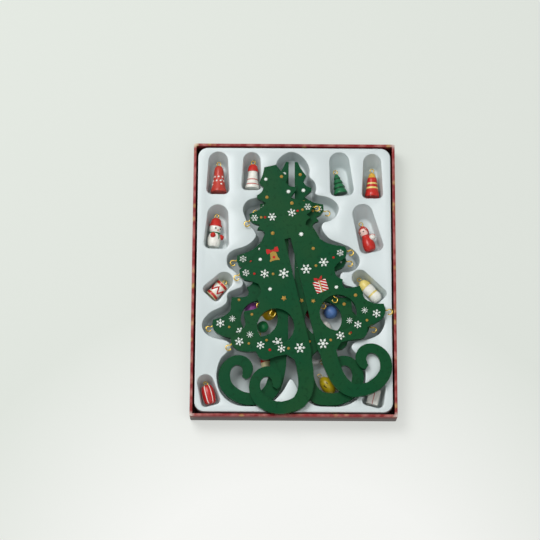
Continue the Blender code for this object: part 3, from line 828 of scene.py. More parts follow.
def mesh_of(name: str, bm: BMesh, place: Matrix | None = None, turn_out: bool = True) -> Mesh:
    """Turn a bmesh into a mesh in its place.

    Args:
        name: The mesh's name.
        bm: The bmesh, which is freed.
        place: Where the mesh goes.
        turn_out: Whether its faces are turned outwards.

    Returns:
        The mesh.
    """
    if turn_out:
        bmesh.ops.recalc_face_normals(bm, faces=bm.faces)
    mesh = bpy.data.meshes.new(name)
    bm.to_mesh(mesh)
    bm.free()
    if place is not None:
        mesh.transform(place)
    return mesh


def settled(piece: Object) -> Object:
    """Turn a piece's evaluated result into its plain mesh.

    Args:
        piece: An object with modifiers.

    Returns:
        A new object of the same name with no modifier. The old one is removed.
    """
    bpy.context.view_layer.update()
    evaluated = piece.evaluated_get(bpy.context.evaluated_depsgraph_get())
    mesh = bpy.data.meshes.new_from_object(evaluated)
    mesh.transform(piece.matrix_world)
    name = piece.name
    bpy.data.objects.remove(piece, do_unlink=True)
    mesh.name = name
    return put(name, mesh)


def plates(name: str, outlines: Sequence[Outline], low: float, high: float) -> Mesh:
    """Make thin flat plates.

    Args:
        name: The mesh's name.
        outlines: One closed outline for each plate.
        low: Height of the undersides.
        high: Height of the tops.

    Returns:
        One mesh with a closed plate for each outline.
    """
    bm = bmesh.new()
    for outline in outlines:
        rings = [add_ring(bm, outline, z) for z in (low, high)]
        bridge(bm, rings)
        for ring in rings:
            fill(bm, [ring])
    return mesh_of(name, bm)


def ball(name: str, radius: float, sides: int, bands: int, place: Matrix | None = None) -> Mesh:
    """Make a round bead with so many faces round it and from pole to pole.

    Args:
        name: The mesh's name.
        radius: Its radius in metres.
        sides: Faces round it.
        bands: Faces from pole to pole.
        place: Where it goes, or None for the origin.

    Returns:
        The bead.
    """
    bm = bmesh.new()
    bmesh.ops.create_uvsphere(bm, u_segments=sides, v_segments=bands, radius=radius)
    return mesh_of(name, bm, place)


def revolved(name: str, rows: Sequence[Pair], place: Matrix, sides: int, squareness: float) -> Mesh:
    """Turn a profile round the Y axis, with a UV map of round and along.

    Args:
        name: The mesh's name.
        rows: Heights along Y and radii, from the eye end to the base.
        place: Where the mesh goes.
        sides: Steps round.
        squareness: Two gives a round section, and more gives a squarer one.

    Returns:
        A closed mesh whose UV runs round from its underside and along from its eye end.
    """
    bm = bmesh.new()
    wrap = bm.loops.layers.uv.new("turned")
    top, low = rows[0][0], rows[-1][0]
    head, foot = [bm.verts.new((0.0, y, 0.0)) for y in (top, low)]
    rings = []
    for along, radius in rows:
        ring = []
        for side in range(sides):
            turn = (side / sides - 0.5) * 2 * math.pi
            across, up = math.sin(turn), math.cos(turn)
            reach = radius / (abs(across) ** squareness + abs(up) ** squareness) ** (1 / squareness)
            ring.append(bm.verts.new((across * reach, along, up * reach)))
        rings.append(ring)
    shares = [(top - along) / (top - low) for along, _ in rows]

    def face(corners: Sequence[BMVert], places: Sequence[Pair]) -> None:
        """Add a face and its UV places."""
        for loop, spot in zip(bm.faces.new(corners).loops, places):
            loop[wrap].uv = spot

    for side in range(sides):
        after = (side + 1) % sides
        u, v = side / sides, (side + 1) / sides
        face([head, rings[0][after], rings[0][side]], [(u, 0.0), (v, 0.0), (u, 0.0)])
        face([foot, rings[-1][side], rings[-1][after]], [(u, 1.0), (u, 1.0), (v, 1.0)])
        for (upper, start), (lower, end) in zip(zip(rings, shares), zip(rings[1:], shares[1:])):
            corners = [upper[side], upper[after], lower[after], lower[side]]
            face(corners, [(u, start), (v, start), (v, end), (u, end)])
    return mesh_of(name, bm, place)


# Geometry nodes


@dataclass(frozen=True)
class NodeTool:
    """A Geometry Nodes tree with named inputs, run on a mesh and then made plain."""

    tree: NodeTree

    def run(self, name: str, mesh: Mesh, **inputs: Any) -> Object:
        """Run the tree on a mesh.

        Args:
            name: Name of the resulting piece.
            mesh: What goes in.
            inputs: Values by the inputs' names, with underscores for spaces.

        Returns:
            A piece with a plain mesh and no modifier.
        """
        source = put(name, mesh)
        modifier = source.modifiers.new("nodes", "NODES")
        modifier.node_group = self.tree
        for item in self.tree.interface.items_tree:
            key = item.name.replace(" ", "_").lower()
            if item.in_out == "INPUT" and key in inputs:
                modifier[item.identifier] = inputs[key]
        return settled(source)


def node_tree(name: str, sockets: dict[str, str]) -> tuple[NodeTree, Any]:
    """Start a Geometry Nodes tree.

    Args:
        name: The tree's name.
        sockets: Types of the inputs after the geometry, by their names.

    Returns:
        The tree, and the outputs of its input node.
    """
    tree = bpy.data.node_groups.new(name, "GeometryNodeTree")
    tree.interface.new_socket("Geometry", in_out="INPUT", socket_type="NodeSocketGeometry")
    for label, kind in sockets.items():
        tree.interface.new_socket(label, in_out="INPUT", socket_type=kind)
    tree.interface.new_socket("Geometry", in_out="OUTPUT", socket_type="NodeSocketGeometry")
    return tree, add_node(tree, "NodeGroupInput").outputs


def close_tree(tree: NodeTree, geometry: NodeSocket, finish: NodeSocket) -> NodeTool:
    """End a tree in real, shaded geometry that wears its finish.

    Args:
        tree: The node tree that takes the nodes.
        geometry: Output socket with what was made.
        finish: Output socket with the material.

    Returns:
        The finished tool.
    """
    real = add_node(tree, "GeometryNodeRealizeInstances", {0: geometry})
    smooth = add_node(tree, "GeometryNodeSetShadeSmooth", {0: real.outputs[0]})
    dressed = add_node(
        tree, "GeometryNodeSetMaterial", {"Geometry": smooth.outputs[0], "Material": finish}
    )
    add_node(tree, "NodeGroupOutput", {0: dressed.outputs[0]})
    return NodeTool(tree)


def wire_tool() -> NodeTool:
    """Make the tool that draws round wire along a path.

    Returns:
        The tool, with its wire radius, sides and finish open.
    """
    tree, given = node_tree("bent_wire", {
        "Wire Radius": "NodeSocketFloat", "Sides": "NodeSocketInt", "Finish": "NodeSocketMaterial",
    })
    line = add_node(tree, "GeometryNodeMeshToCurve", {0: given["Geometry"]})
    section = add_node(
        tree, "GeometryNodeCurvePrimitiveCircle",
        {"Resolution": given["Sides"], "Radius": given["Wire Radius"]},
    )
    tube = add_node(
        tree, "GeometryNodeCurveToMesh",
        {"Fill Caps": True, "Curve": line.outputs[0], "Profile Curve": section.outputs["Curve"]},
    )
    return close_tree(tree, tube.outputs[0], given["Finish"])


def scatter_tool() -> NodeTool:
    """Make the tool that sets copies of one form on points, each with its own turn and size.

    Returns:
        The tool, with its form and finish open.
    """
    tree, given = node_tree("set_out_copies", {"Form": "NodeSocketObject", "Finish": "NodeSocketMaterial"})
    form = add_node(tree, "GeometryNodeObjectInfo", {"Object": given["Form"]})
    turn, size = [
        add_node(tree, "GeometryNodeInputNamedAttribute", {"data_type": "FLOAT_VECTOR", "Name": label})
        for label in ("turn", "size")
    ]
    angle = add_node(tree, "FunctionNodeEulerToRotation", {0: turn.outputs[0]})
    copies = add_node(
        tree, "GeometryNodeInstanceOnPoints",
        {
            "Points": given["Geometry"], "Instance": form.outputs["Geometry"],
            "Rotation": angle.outputs[0], "Scale": size.outputs[0],
        },
    )
    return close_tree(tree, copies.outputs[0], given["Finish"])


@dataclass
class Bench:
    """The tools and finishes that the sub-assemblies share."""

    wire: NodeTool = field(default_factory=wire_tool)
    wire_sides: int = 10
    scatter: NodeTool = field(default_factory=scatter_tool)
    brass: Material = field(default_factory=lambda: BrassWire().build())
    board: Material = field(default_factory=lambda: BoardPaint().build())
    inks: dict[Hue, Material] = field(default_factory=dict)

    def ink(self, hue: Hue) -> Material:
        """Return the ink of one hue, mixed once.

        Args:
            hue: The ink's colour.

        Returns:
            Its material.
        """
        if hue not in self.inks:
            self.inks[hue] = Ink(name="ink_" + hue.name.lower(), hue=hue).build()
        return self.inks[hue]

    def bend(self, name: str, path: Outline, radius: float, finish: Material) -> Object:
        """Draw one piece of round wire along a path.

        Args:
            name: The piece's name.
            path: Points along the wire's middle.
            radius: The wire's radius in metres.
            finish: Its material.

        Returns:
            The wire.
        """
        line = bpy.data.meshes.new(name)
        line.from_pydata(path, [(index, index + 1) for index in range(len(path) - 1)], [])
        return self.wire.run(name, line, wire_radius=radius, sides=self.wire_sides, finish=finish)

    def set_out(self, name: str, form: Mesh, places: Sequence[Matrix], finish: Material) -> Object:
        """Set copies of a form at places.

        Args:
            name: Name of the resulting piece.
            form: The form's mesh.
            places: Where each copy goes.
            finish: What the copies wear.

        Returns:
            One piece with a plain mesh.
        """
        model = put(name + "_form", form)
        points = bpy.data.meshes.new(name)
        points.from_pydata([place.translation for place in places], [], [])
        turn, size = [points.attributes.new(label, "FLOAT_VECTOR", "POINT") for label in ("turn", "size")]
        for index, place in enumerate(places):
            turn.data[index].vector = tuple(place.to_euler())
            size.data[index].vector = tuple(place.to_scale())
        piece = self.scatter.run(name, points, form=model, finish=finish)
        bpy.data.objects.remove(model, do_unlink=True)
        return piece


# The card box


@dataclass
class CardBox:
    """Shallow tray of grey board wrapped in printed paper, with folded, slightly soft edges."""

    width: float = 0.225024
    length: float = 0.3103
    depth: float = 0.026
    wall: float = 0.003
    floor: float = 0.002
    fold: float = 0.0006
    fold_middle: float = 0.3
    corner: float = 0.0014
    inner_corner: float = 0.0009
    corner_steps: int = 4

    def build(self) -> None:
        """Make the tray and put it in the frame."""
        middle = self.fold * self.fold_middle
        fold = ((0.0, self.fold), (middle, middle), (self.fold, 0.0))
        rows = [(inset, z) for inset, z in reversed(fold)]
        rows += [(inset, self.depth - drop) for inset, drop in fold]
        rows += [(self.wall - inset, self.depth - drop) for inset, drop in reversed(fold)]
        rows.append((self.wall, self.floor))
        bm = bmesh.new()
        rings = []
        for inset, z in rows:
            corner = max(self.inner_corner, self.corner - inset)
            width, length = self.width - 2 * inset, self.length - 2 * inset
            rings.append(add_ring(bm, rectangle(width, length, corner, self.corner_steps), z))
        bridge(bm, rings)
        bm.faces.new(rings[0])
        bm.faces.new(rings[-1])
        name = "wrapped_card_tray"
        piece = show_piece(name, mesh_of(name, bm), WrappingPaper().build())
        frame_piece(piece, "boxed_liner", "printed_card", "card_box")


# The liner


@dataclass(frozen=True)
class Pocket:
    """One pocket of the liner: a round head, a wide base, and a head end that slopes in.

    Its place and sizes are in millimetres, and its turn in degrees.
    """

    x: float
    y: float
    turn: float
    length: float
    half_width: float
    head_slope: float
    head_share: float = 0.84

    def outline(self, inset: float, head_inset: float, steps: int) -> Outline:
        """Draw the pocket's outline at one height.

        Args:
            inset: How far it is drawn in there.
            head_inset: How far its head end is drawn in.
            steps: Steps of each arc.

        Returns:
            The closed outline.
        """
        half = self.half_width * MM - inset
        head = half * self.head_share
        corner = half / 2
        low = -self.length * MM / 2 + inset + corner
        high = self.length * MM / 2 - head_inset - head
        place = placed((self.x * MM, self.y * MM, 0.0), math.radians(self.turn))
        spots = ((half - corner, low, corner), (0.0, high, head), (corner - half, low, corner))
        return round_discs([(place @ Vector((x, y, 0.0)), radius) for x, y, radius in spots], steps)


POCKETS = (
    Pocket(-84.99, 120.71, 0.0, 49.3, 12.66, 6.77),
    Pocket(-47.45, 123.01, 0.0, 44.03, 11.2, 5.35),
    Pocket(51.61, 120.16, 5.0, 50.49, 12.97, 11.22),
    Pocket(87.23, 117.77, 0.0, 51.47, 11.55, 9.44),
    Pocket(-85.31, 58.14, -2.0, 50.62, 13.64, 6.17),
    Pocket(80.36, 57.32, 14.0, 56.33, 13.2, 11.29),
    Pocket(-81.96, -8.98, -44.0, 34.11, 11.37, 5.75),
    Pocket(81.48, -8.89, 43.0, 43.19, 10.47, 5.27),
    Pocket(-93.33, -126.51, 16.0, 34.91, 10.47, 5.06),
    Pocket(88.32, -128.21, -14.0, 31.64, 11.78, 5.25),
)
# The cavity's edge and its pads, right of the tree's axis and below its top, as shares of its height.
CAVITY_SHARES: tuple[Pair, ...] = (
    (0.000, -0.043), (0.048, -0.016), (0.071, 0.029), (0.071, 0.062), (0.092, 0.085), (0.098, 0.112),
    (0.097, 0.136), (0.134, 0.145), (0.168, 0.161), (0.188, 0.190), (0.179, 0.226), (0.156, 0.246),
    (0.127, 0.256), (0.121, 0.277), (0.132, 0.301), (0.156, 0.325), (0.195, 0.341), (0.236, 0.360),
    (0.265, 0.389), (0.272, 0.417), (0.258, 0.446), (0.229, 0.459), (0.203, 0.462), (0.194, 0.482),
    (0.210, 0.512), (0.252, 0.528), (0.262, 0.572), (0.286, 0.601), (0.320, 0.622), (0.354, 0.632),
    (0.370, 0.656), (0.365, 0.686), (0.345, 0.715), (0.307, 0.733), (0.254, 0.745), (0.238, 0.766),
    (0.251, 0.788), (0.276, 0.815), (0.291, 0.860), (0.292, 0.902), (0.279, 0.948), (0.248, 0.984),
    (0.205, 1.003), (0.148, 1.006), (0.093, 1.001), (0.056, 0.974), (0.028, 0.938), (0.006, 0.900),
    (-0.006, 0.900), (-0.028, 0.938), (-0.056, 0.974), (-0.093, 1.001), (-0.148, 1.006),
    (-0.205, 1.003), (-0.248, 0.984), (-0.279, 0.948), (-0.292, 0.902), (-0.291, 0.860),
    (-0.276, 0.815), (-0.251, 0.788), (-0.238, 0.766), (-0.254, 0.745), (-0.307, 0.732),
    (-0.338, 0.714), (-0.352, 0.690), (-0.349, 0.663), (-0.322, 0.630), (-0.277, 0.606),
    (-0.256, 0.585), (-0.252, 0.551), (-0.222, 0.534), (-0.197, 0.522), (-0.194, 0.498),
    (-0.227, 0.459), (-0.252, 0.440), (-0.258, 0.411), (-0.250, 0.387), (-0.226, 0.370),
    (-0.186, 0.356), (-0.156, 0.334), (-0.142, 0.305), (-0.172, 0.262), (-0.190, 0.225),
    (-0.194, 0.193), (-0.175, 0.163), (-0.141, 0.152), (-0.108, 0.136), (-0.095, 0.100),
    (-0.074, 0.060), (-0.066, 0.020), (-0.048, -0.018),
)
PAD_SHARES: tuple[Pair, ...] = (
    (-0.072, 0.197), (0.072, 0.197), (-0.120, 0.412), (0.120, 0.412),
    (-0.048, 0.742), (0.048, 0.742), (-0.165, 0.972), (0.165, 0.972),
)
TREE_HEIGHT = 0.276
TREE_TOP = Vector((-0.0028, 0.13375, 0.0))
# Heights of the two panels' undersides, and how far the front one lies to the left, down and turned.
PANEL_BACK_Z = 0.0200
PANEL_FRONT_Z = 0.0263
FRONT_SHIFT = Vector((-0.0241, -0.0069, 0.0))
FRONT_TURN = 13.2


def tree_point(u_share: float, v_share: float) -> Vector:
    """Place in a panel: u runs right from the axis, v down from the top."""
    return Vector((u_share * TREE_HEIGHT, -v_share * TREE_HEIGHT, 0.0))


@dataclass
class Liner:
    """White vacuum-formed liner with rolled edges, sloping pockets and one deep tree-shaped cavity."""

    width: float = 0.213224
    length: float = 0.2985
    corner: float = 0.010
    top_z: float = 0.0257
    floor_z: float = 0.0034
    hem_z: float = 0.0023
    sheet: float = 0.0008
    roll: float = 0.0009
    roll_depth: float = 0.0017
    cavity_roll: float = 0.8
    draft: float = 0.0022
    foot_share: float = 0.9
    fillet: float = 0.0022
    pad_z: float = 0.0197
    pad_radius: float = 0.0045
    pad_brow: Pair = (0.0003, 0.0008)
    pad_head: float = 0.0005
    steps: int = 5
    wall_steps: int = 3
    skirt_steps: int = 8
    pocket_steps: int = 14
    pad_steps: int = 20
    line_steps: int = 4

    def walls(self) -> list[Triple]:
        """Rows of a hollow's wall from its mouth to its floor.

        Returns:
            For each row, how far it is drawn in, its share of the slope, and its height.
        """
        turns = quarter(self.steps)
        neck, foot = self.top_z - self.roll_depth, self.floor_z + self.fillet
        rows = []
        for turn in turns[:-1]:
            drop = self.roll_depth * (1 - math.cos(turn))
            rows.append((-self.roll * (1 - math.sin(turn)), 0.0, self.top_z - drop))
        for step in range(self.wall_steps + 1):
            share = step / self.wall_steps
            rows.append((0.0, share * self.foot_share, neck + (foot - neck) * share))
        for step, turn in enumerate(turns[1:], 1):
            share = self.foot_share + (1 - self.foot_share) * step / self.steps
            rows.append((self.fillet * (1 - math.cos(turn)), share, foot - self.fillet * math.sin(turn)))
        return rows

    def add_skirt(self, bm: BMesh) -> Ring:
        """Add the outer edge and the skirt.

        Args:
            bm: The liner's bmesh.

        Returns:
            The top sheet's outer ring.
        """
        rows = [
            (self.roll * math.sin(turn), self.top_z - self.roll * (1 - math.cos(turn)))
            for turn in quarter(self.steps)
        ]
        rows.append((2 * self.roll, self.hem_z))
        rings = []
        for out, z in rows:
            width, length = self.width + 2 * out, self.length + 2 * out
            rings.append(add_ring(bm, rectangle(width, length, self.corner + out, self.skirt_steps), z))
        bridge(bm, rings)
        return rings[0]

    def add_pocket(self, bm: BMesh, pocket: Pocket) -> Ring:
        """Add one pocket.

        Args:
            bm: The liner's bmesh.
            pocket: The pocket.

        Returns:
            The ring of its mouth.
        """
        rings = []
        for inset, share, z in self.walls():
            head_inset = inset + pocket.head_slope * MM * share
            outline = pocket.outline(inset + self.draft * share, head_inset, self.pocket_steps)
            rings.append(add_ring(bm, outline, z))
        bridge(bm, rings)
        fill(bm, [rings[-1]])
        return rings[0]

    def add_cavity(self, bm: BMesh) -> Ring:
        """Add the tree-shaped cavity with the pads in it.

        Args:
            bm: The liner's bmesh.

        Returns:
            The ring of its mouth.
        """
        points = [TREE_TOP + tree_point(*share) for share in CAVITY_SHARES]
        line = smooth_run(points, self.line_steps, closed=True)
        rings = [
            add_ring(bm, drawn_in(line, inset * self.cavity_roll + self.draft * share), z)
            for inset, share, z in self.walls()
        ]
        bridge(bm, rings)
        holes = [rings[-1]]
        out, drop = self.pad_brow
        rows = ((self.draft, self.floor_z), (out, self.pad_z - drop), (-self.pad_head, self.pad_z))
        for share in PAD_SHARES:
            centre = TREE_TOP + tree_point(*share)
            pad = [add_ring(bm, circle(centre, self.pad_radius + out, self.pad_steps), z) for out, z in rows]
            bridge(bm, pad)
            fill(bm, [pad[-1]])
            holes.append(pad[0])
        fill(bm, holes)
        return rings[0]

    def build(self) -> None:
        """Make the liner and put it in the frame."""
        bm = bmesh.new()
        rings = [self.add_skirt(bm)]
        rings += [self.add_pocket(bm, pocket) for pocket in POCKETS]
        rings.append(self.add_cavity(bm))
        fill(bm, rings)
        bmesh.ops.recalc_face_normals(bm, faces=bm.faces)
        widest = max(bm.faces, key=lambda face: face.calc_area())
        if widest.normal.z < 0:
            bmesh.ops.reverse_faces(bm, faces=bm.faces)
        for ring in rings:
            for edge in ring_edges(bm, ring):
                edge.smooth = False
        mesh = mesh_of("formed_liner", bm, turn_out=False)
        piece = show_piece("formed_liner", mesh, FormedStyrene().build(), sharp=60.0)
        wall = piece.modifiers.new("sheet", "SOLIDIFY")
        wall.thickness = self.sheet
        wall.offset = -1
        wall.use_even_offset = True
        frame_piece(settled(piece), "boxed_liner", "white_styrene", "liner_tray")


# The tree panels

CROWN_SHARES: tuple[tuple[Pair, ...], ...] = (
    ((0.024, 0.000), (0.037, 0.028)),
    ((0.059, 0.059),),
    ((0.046, 0.083), (0.058, 0.100)),
    ((0.080, 0.110),),
    ((0.080, 0.122), (0.063, 0.136)),
    ((0.051, 0.149), (0.086, 0.170)),
    ((0.127, 0.179),),
    ((0.129, 0.205), (0.116, 0.222)),
    ((0.097, 0.232),),
    ((0.109, 0.248), (0.092, 0.256)),
    ((0.083, 0.270), (0.104, 0.303), (0.126, 0.342), (0.158, 0.371)),
    ((0.217, 0.396),),
    ((0.219, 0.416), (0.208, 0.438), (0.178, 0.454)),
    ((0.155, 0.470), (0.152, 0.489), (0.156, 0.510)),
    ((0.176, 0.526),),
    ((0.169, 0.545), (0.177, 0.563)),
    ((0.236, 0.567), (0.240, 0.592), (0.243, 0.622), (0.274, 0.648)),
    ((0.310, 0.659),),
    ((0.313, 0.680), (0.300, 0.708), (0.262, 0.728)),
    ((0.226, 0.735),),
    ((0.218, 0.762), (0.198, 0.776), (0.148, 0.773), (0.110, 0.774)),
)
LEG_SHARES: tuple[Triple, ...] = (
    (0.051, 0.802, 0.066), (0.053, 0.855, 0.063), (0.070, 0.926, 0.060), (0.103, 0.967, 0.055),
    (0.141, 0.977, 0.049), (0.184, 0.975, 0.048), (0.226, 0.955, 0.049), (0.254, 0.925, 0.048),
    (0.263, 0.890, 0.046), (0.259, 0.861, 0.042), (0.244, 0.837, 0.038), (0.219, 0.823, 0.038),
    (0.190, 0.827, 0.042), (0.171, 0.852, 0.043), (0.176, 0.881, 0.034), (0.186, 0.893, 0.020),
)
HOOK_SHARES: tuple[tuple[str, float, float, float], ...] = (
    ("upper", 0.1290, 0.203, 36.0), ("middle", 0.2190, 0.412, 38.0), ("lower", 0.3125, 0.683, 38.0),
)


class Motif(Enum):
    """Kinds of print on the panels."""

    FLAKE = "snowflakes"
    CRYSTAL = "fine_snowflakes"
    BURST = "starbursts"
    GLINT = "white_glints"
    DOT = "gold_dots"
    BERRY = "red_dots"
    STAR = "gold_stars"


# A snowflake's core and one of its leaves, as reaches from its middle and turns off a ray.
FLAKE_CORE = ((0.11, -math.pi / 6), (0.15, -0.36), (0.26, 0.0), (0.15, 0.36))
FLAKE_LEAF = ((0.18, 0.0), (0.34, -0.35), (0.5, 0.0), (0.34, 0.35))


def ray(turn: float, start: float, end: float, width: float) -> Outline:
    """Outline of one pointed ray from the middle out, widest before its middle.

    Args:
        turn: Its direction in radians.
        start: Distance of its root from the middle.
        end: Distance of its tip.
        width: Its greatest width.

    Returns:
        Five points.
    """
    belly = start + (end - start) * 0.45
    along, out = spoke(turn, 1.0), spoke(turn + math.pi / 2, width / 2)
    root, waist = along * start, along * belly
    return [root - out / 2, waist - out, along * end, waist + out, root + out / 2]


def bar(
    turn: float, start: float, end: float, width: float, shift: float = 0.0, lean: float = 0.0
) -> Outline:
    """Outline of a straight bar that leaves a ray's side.

    Args:
        turn: Direction of the ray, in radians.
        start: Reach at which the bar leaves the ray.
        end: How far the bar goes.
        width: Width of the bar.
        shift: How far off the ray the bar begins.
        lean: Turn of the bar off the ray, in radians.

    Returns:
        The corners, in order.
    """
    root, along = spoke(turn, start), spoke(turn + lean, 1.0)
    out = spoke(turn + lean + math.pi / 2, width / 2)
    first, last = root + along * shift, root + along * end
    return [first - out, last - out, last + out, first + out]


def star_outline(points: int, waist: float) -> Outline:
    """Outline of a star of unit diameter, with its waist as a share of its reach."""
    turns = [math.pi / 2 + math.pi * step / points for step in range(points * 2)]
    return [spoke(turn, 0.5 * waist if step % 2 else 0.5) for step, turn in enumerate(turns)]


def motif_outlines(motif: Motif) -> list[Outline]:
    """Return the outlines of a print of unit diameter.

    Args:
        motif: The kind of print.

    Returns:
        One closed outline for each of its parts.
    """
    middle = Vector((0.0, 0.0, 0.0))
    sixths = [math.pi / 2 + math.pi / 3 * step for step in range(6)]
    if motif is Motif.FLAKE:
        core = [spoke(turn + off, reach) for turn in sixths for reach, off in FLAKE_CORE]
        return [core] + [[spoke(turn + off, reach) for reach, off in FLAKE_LEAF] for turn in sixths]
    if motif is Motif.CRYSTAL:
        core = [spoke(turn, 0.10) for turn in sixths]
        arms = [bar(turn, 0.0, 0.5, 0.075, 0.11) for turn in sixths]
        barbs = [bar(turn, 0.28, 0.17, 0.07, 0.05, lean) for turn in sixths for lean in (-0.9, 0.9)]
        return [core] + arms + barbs
    if motif is Motif.BURST:
        eighths = [math.pi / 8 + math.pi / 4 * step for step in range(8)]
        return [circle(middle, 0.13, 16)] + [ray(turn, 0.14, 0.5, 0.10) for turn in eighths]
    if motif is Motif.GLINT:
        return [star_outline(8, 0.62)]
    if motif is Motif.STAR:
        return [star_outline(5, 0.55)]
    return [circle(middle, 0.5, 14)]


# Places of the prints in a panel, in millimetres right of its axis and below its top, and their size.
PRINTS: dict[Motif, tuple[Triple, ...]] = {
    Motif.FLAKE: (
        (-11.1, 58.3, 10.0), (11.3, 58.4, 10.0), (-33.6, 119.9, 10.5), (-13.0, 124.2, 12.4),
        (12.1, 124.8, 12.4), (32.7, 121.6, 11.2), (-77.5, 188.3, 10.2), (-55.8, 197.4, 9.6),
        (-34.6, 206.0, 9.6), (-14.8, 209.8, 12.4), (10.8, 210.7, 12.4), (31.3, 206.2, 10.2),
        (52.3, 198.0, 9.2), (75.6, 190.9, 10.2),
    ),
    Motif.CRYSTAL: (
        (-30.3, 55.1, 8.2), (30.0, 55.6, 8.2), (-53.4, 114.3, 8.2), (52.8, 115.2, 8.2),
    ),
    Motif.BURST: ((-64.4, 183.2, 8.4), (63.8, 184.5, 8.4)),
    Motif.GLINT: (
        (-8.2, 14.1, 4.4), (13.1, 33.6, 5.0), (-34.7, 102.9, 4.5), (-31.7, 138.2, 4.7),
        (39.7, 152.2, 4.7), (15.8, 84.8, 5.5),
    ),
    Motif.DOT: (
        (-11.6, 34.8, 3.6), (13.8, 47.6, 4.0), (-14.7, 76.7, 4.0), (25.0, 103.7, 3.6),
        (-24.6, 122.2, 2.9), (23.4, 123.5, 3.0), (-23.0, 56.1, 2.8), (23.6, 57.6, 2.9),
        (-67.8, 192.7, 2.7), (-26.9, 207.5, 3.0), (19.9, 208.6, 3.0), (63.6, 195.9, 3.0),
        (58.0, 165.7, 3.8), (9.5, 15.0, 3.6), (-57.4, 161.6, 3.0), (41.8, 206.2, 2.8),
    ),
    Motif.BERRY: (
        (-18.8, 57.0, 2.8), (18.0, 57.7, 2.8), (-44.6, 117.4, 2.7), (44.4, 118.7, 2.6),
        (-47.1, 204.7, 2.9), (43.1, 205.5, 2.4),
    ),
    Motif.STAR: ((-19.3, 151.6, 6.6), (11.4, 161.9, 5.2)),
}
INKS: dict[Motif, Hue] = {
    Motif.FLAKE: Hue.INK_WHITE, Motif.CRYSTAL: Hue.INK_WHITE, Motif.BURST: Hue.INK_WHITE,
    Motif.GLINT: Hue.INK_WHITE, Motif.DOT: Hue.INK_GOLD, Motif.BERRY: Hue.INK_RED, Motif.STAR: Hue.INK_GOLD,
}

# Outlines of the printed bell and parcel, in millimetres round each one's middle.
BELL = (
    (-3.2, 2.2), (-3.6, -1.0), (-4.1, -4.4), (-5.6, -6.6), (-5.2, -7.9), (-2.6, -7.2), (0.0, -7.0),
    (2.6, -7.2), (5.2, -7.9), (5.6, -6.4), (4.3, -4.4), (3.8, -1.0), (3.4, 2.0), (0.0, 3.2),
)
BELL_BOW = (
    ((-1.0, 3.0), (-3.4, 2.0), (-6.2, 1.2), (-7.2, 3.4), (-6.4, 7.4), (-3.6, 6.6), (-1.2, 4.6)),
    ((1.0, 3.0), (1.2, 4.6), (3.4, 7.6), (6.4, 7.6), (6.8, 3.6), (6.0, 1.8), (3.2, 2.4)),
    ((-0.9, 3.2), (0.9, 3.2), (1.0, 5.2), (-1.0, 5.2)),
)
BELL_CLAPPER = circle(Vector((0.0, -3.4, 0.0)), 1.6, 16)
PARCEL = ((-7.6, 5.4), (7.2, 7.0), (7.9, -5.6), (-5.4, -8.0))
PARCEL_RIBBON = ((-0.7, 6.1), (0.9, 6.3), (1.5, -6.9), (0.1, -7.1))
PARCEL_BOW = (
    ((-0.4, 6.6), (-5.6, 7.4), (-5.0, 10.2), (-1.6, 9.2)),
    ((0.6, 6.6), (1.4, 9.6), (4.0, 11.4), (3.6, 8.2)),
    ((-0.5, 6.4), (1.0, 6.5), (0.8, 8.4), (-0.8, 8.3)),
)
BELL_PLACE = (-19.4, 100.4)
PARCEL_PLACE = (22.9, 147.0)


def parcel_stripes(pitch: float = 2.9, width: float = 1.9, ribbon_half: float = 0.9) -> list[Outline]:
    """Slant stripes over the parcel on both sides of its ribbon.

    Args:
        pitch: Step from one stripe to the next, in millimetres.
        width: Width of a stripe.
        ribbon_half: Half of the width that is left free in the middle.

    Returns:
        The outline of each stripe that lies on the parcel.
    """
    across = Vector((0.45, 0.89, 0.0))
    bands = []
    for half in (1, -1):
        side = clipped(plan(PARCEL), Vector((-half, 0.0, 0.0)), -ribbon_half)
        for step in range(-6, 7):
            below = clipped(side, across, step * pitch + width)
            bands.append(clipped(below, -across, -step * pitch))
    return [band for band in bands if len(band) > 2]


# Each picture's word, outlines, height as a share of the ink's, colour and place in a panel.
PICTURES: tuple[tuple[str, list[Outline], float, Hue, Pair], ...] = (
    ("bell", [plan(BELL)], 1.0, Hue.BELL_GOLD, BELL_PLACE),
    ("bell_bow", [plan(loop) for loop in BELL_BOW], 1.5, Hue.INK_RED, BELL_PLACE),
    ("bell_clapper", [BELL_CLAPPER], 1.5, Hue.INK_RED, BELL_PLACE),
    ("parcel", [plan(PARCEL)], 1.0, Hue.INK_WHITE, PARCEL_PLACE),
    ("parcel_stripes", parcel_stripes(), 1.5, Hue.INK_RED, PARCEL_PLACE),
    ("parcel_ribbon", [plan(PARCEL_RIBBON)], 1.8, Hue.INK_GOLD, PARCEL_PLACE),
    ("parcel_bow", [plan(loop) for loop in PARCEL_BOW], 1.8, Hue.INK_RED, PARCEL_PLACE),
)


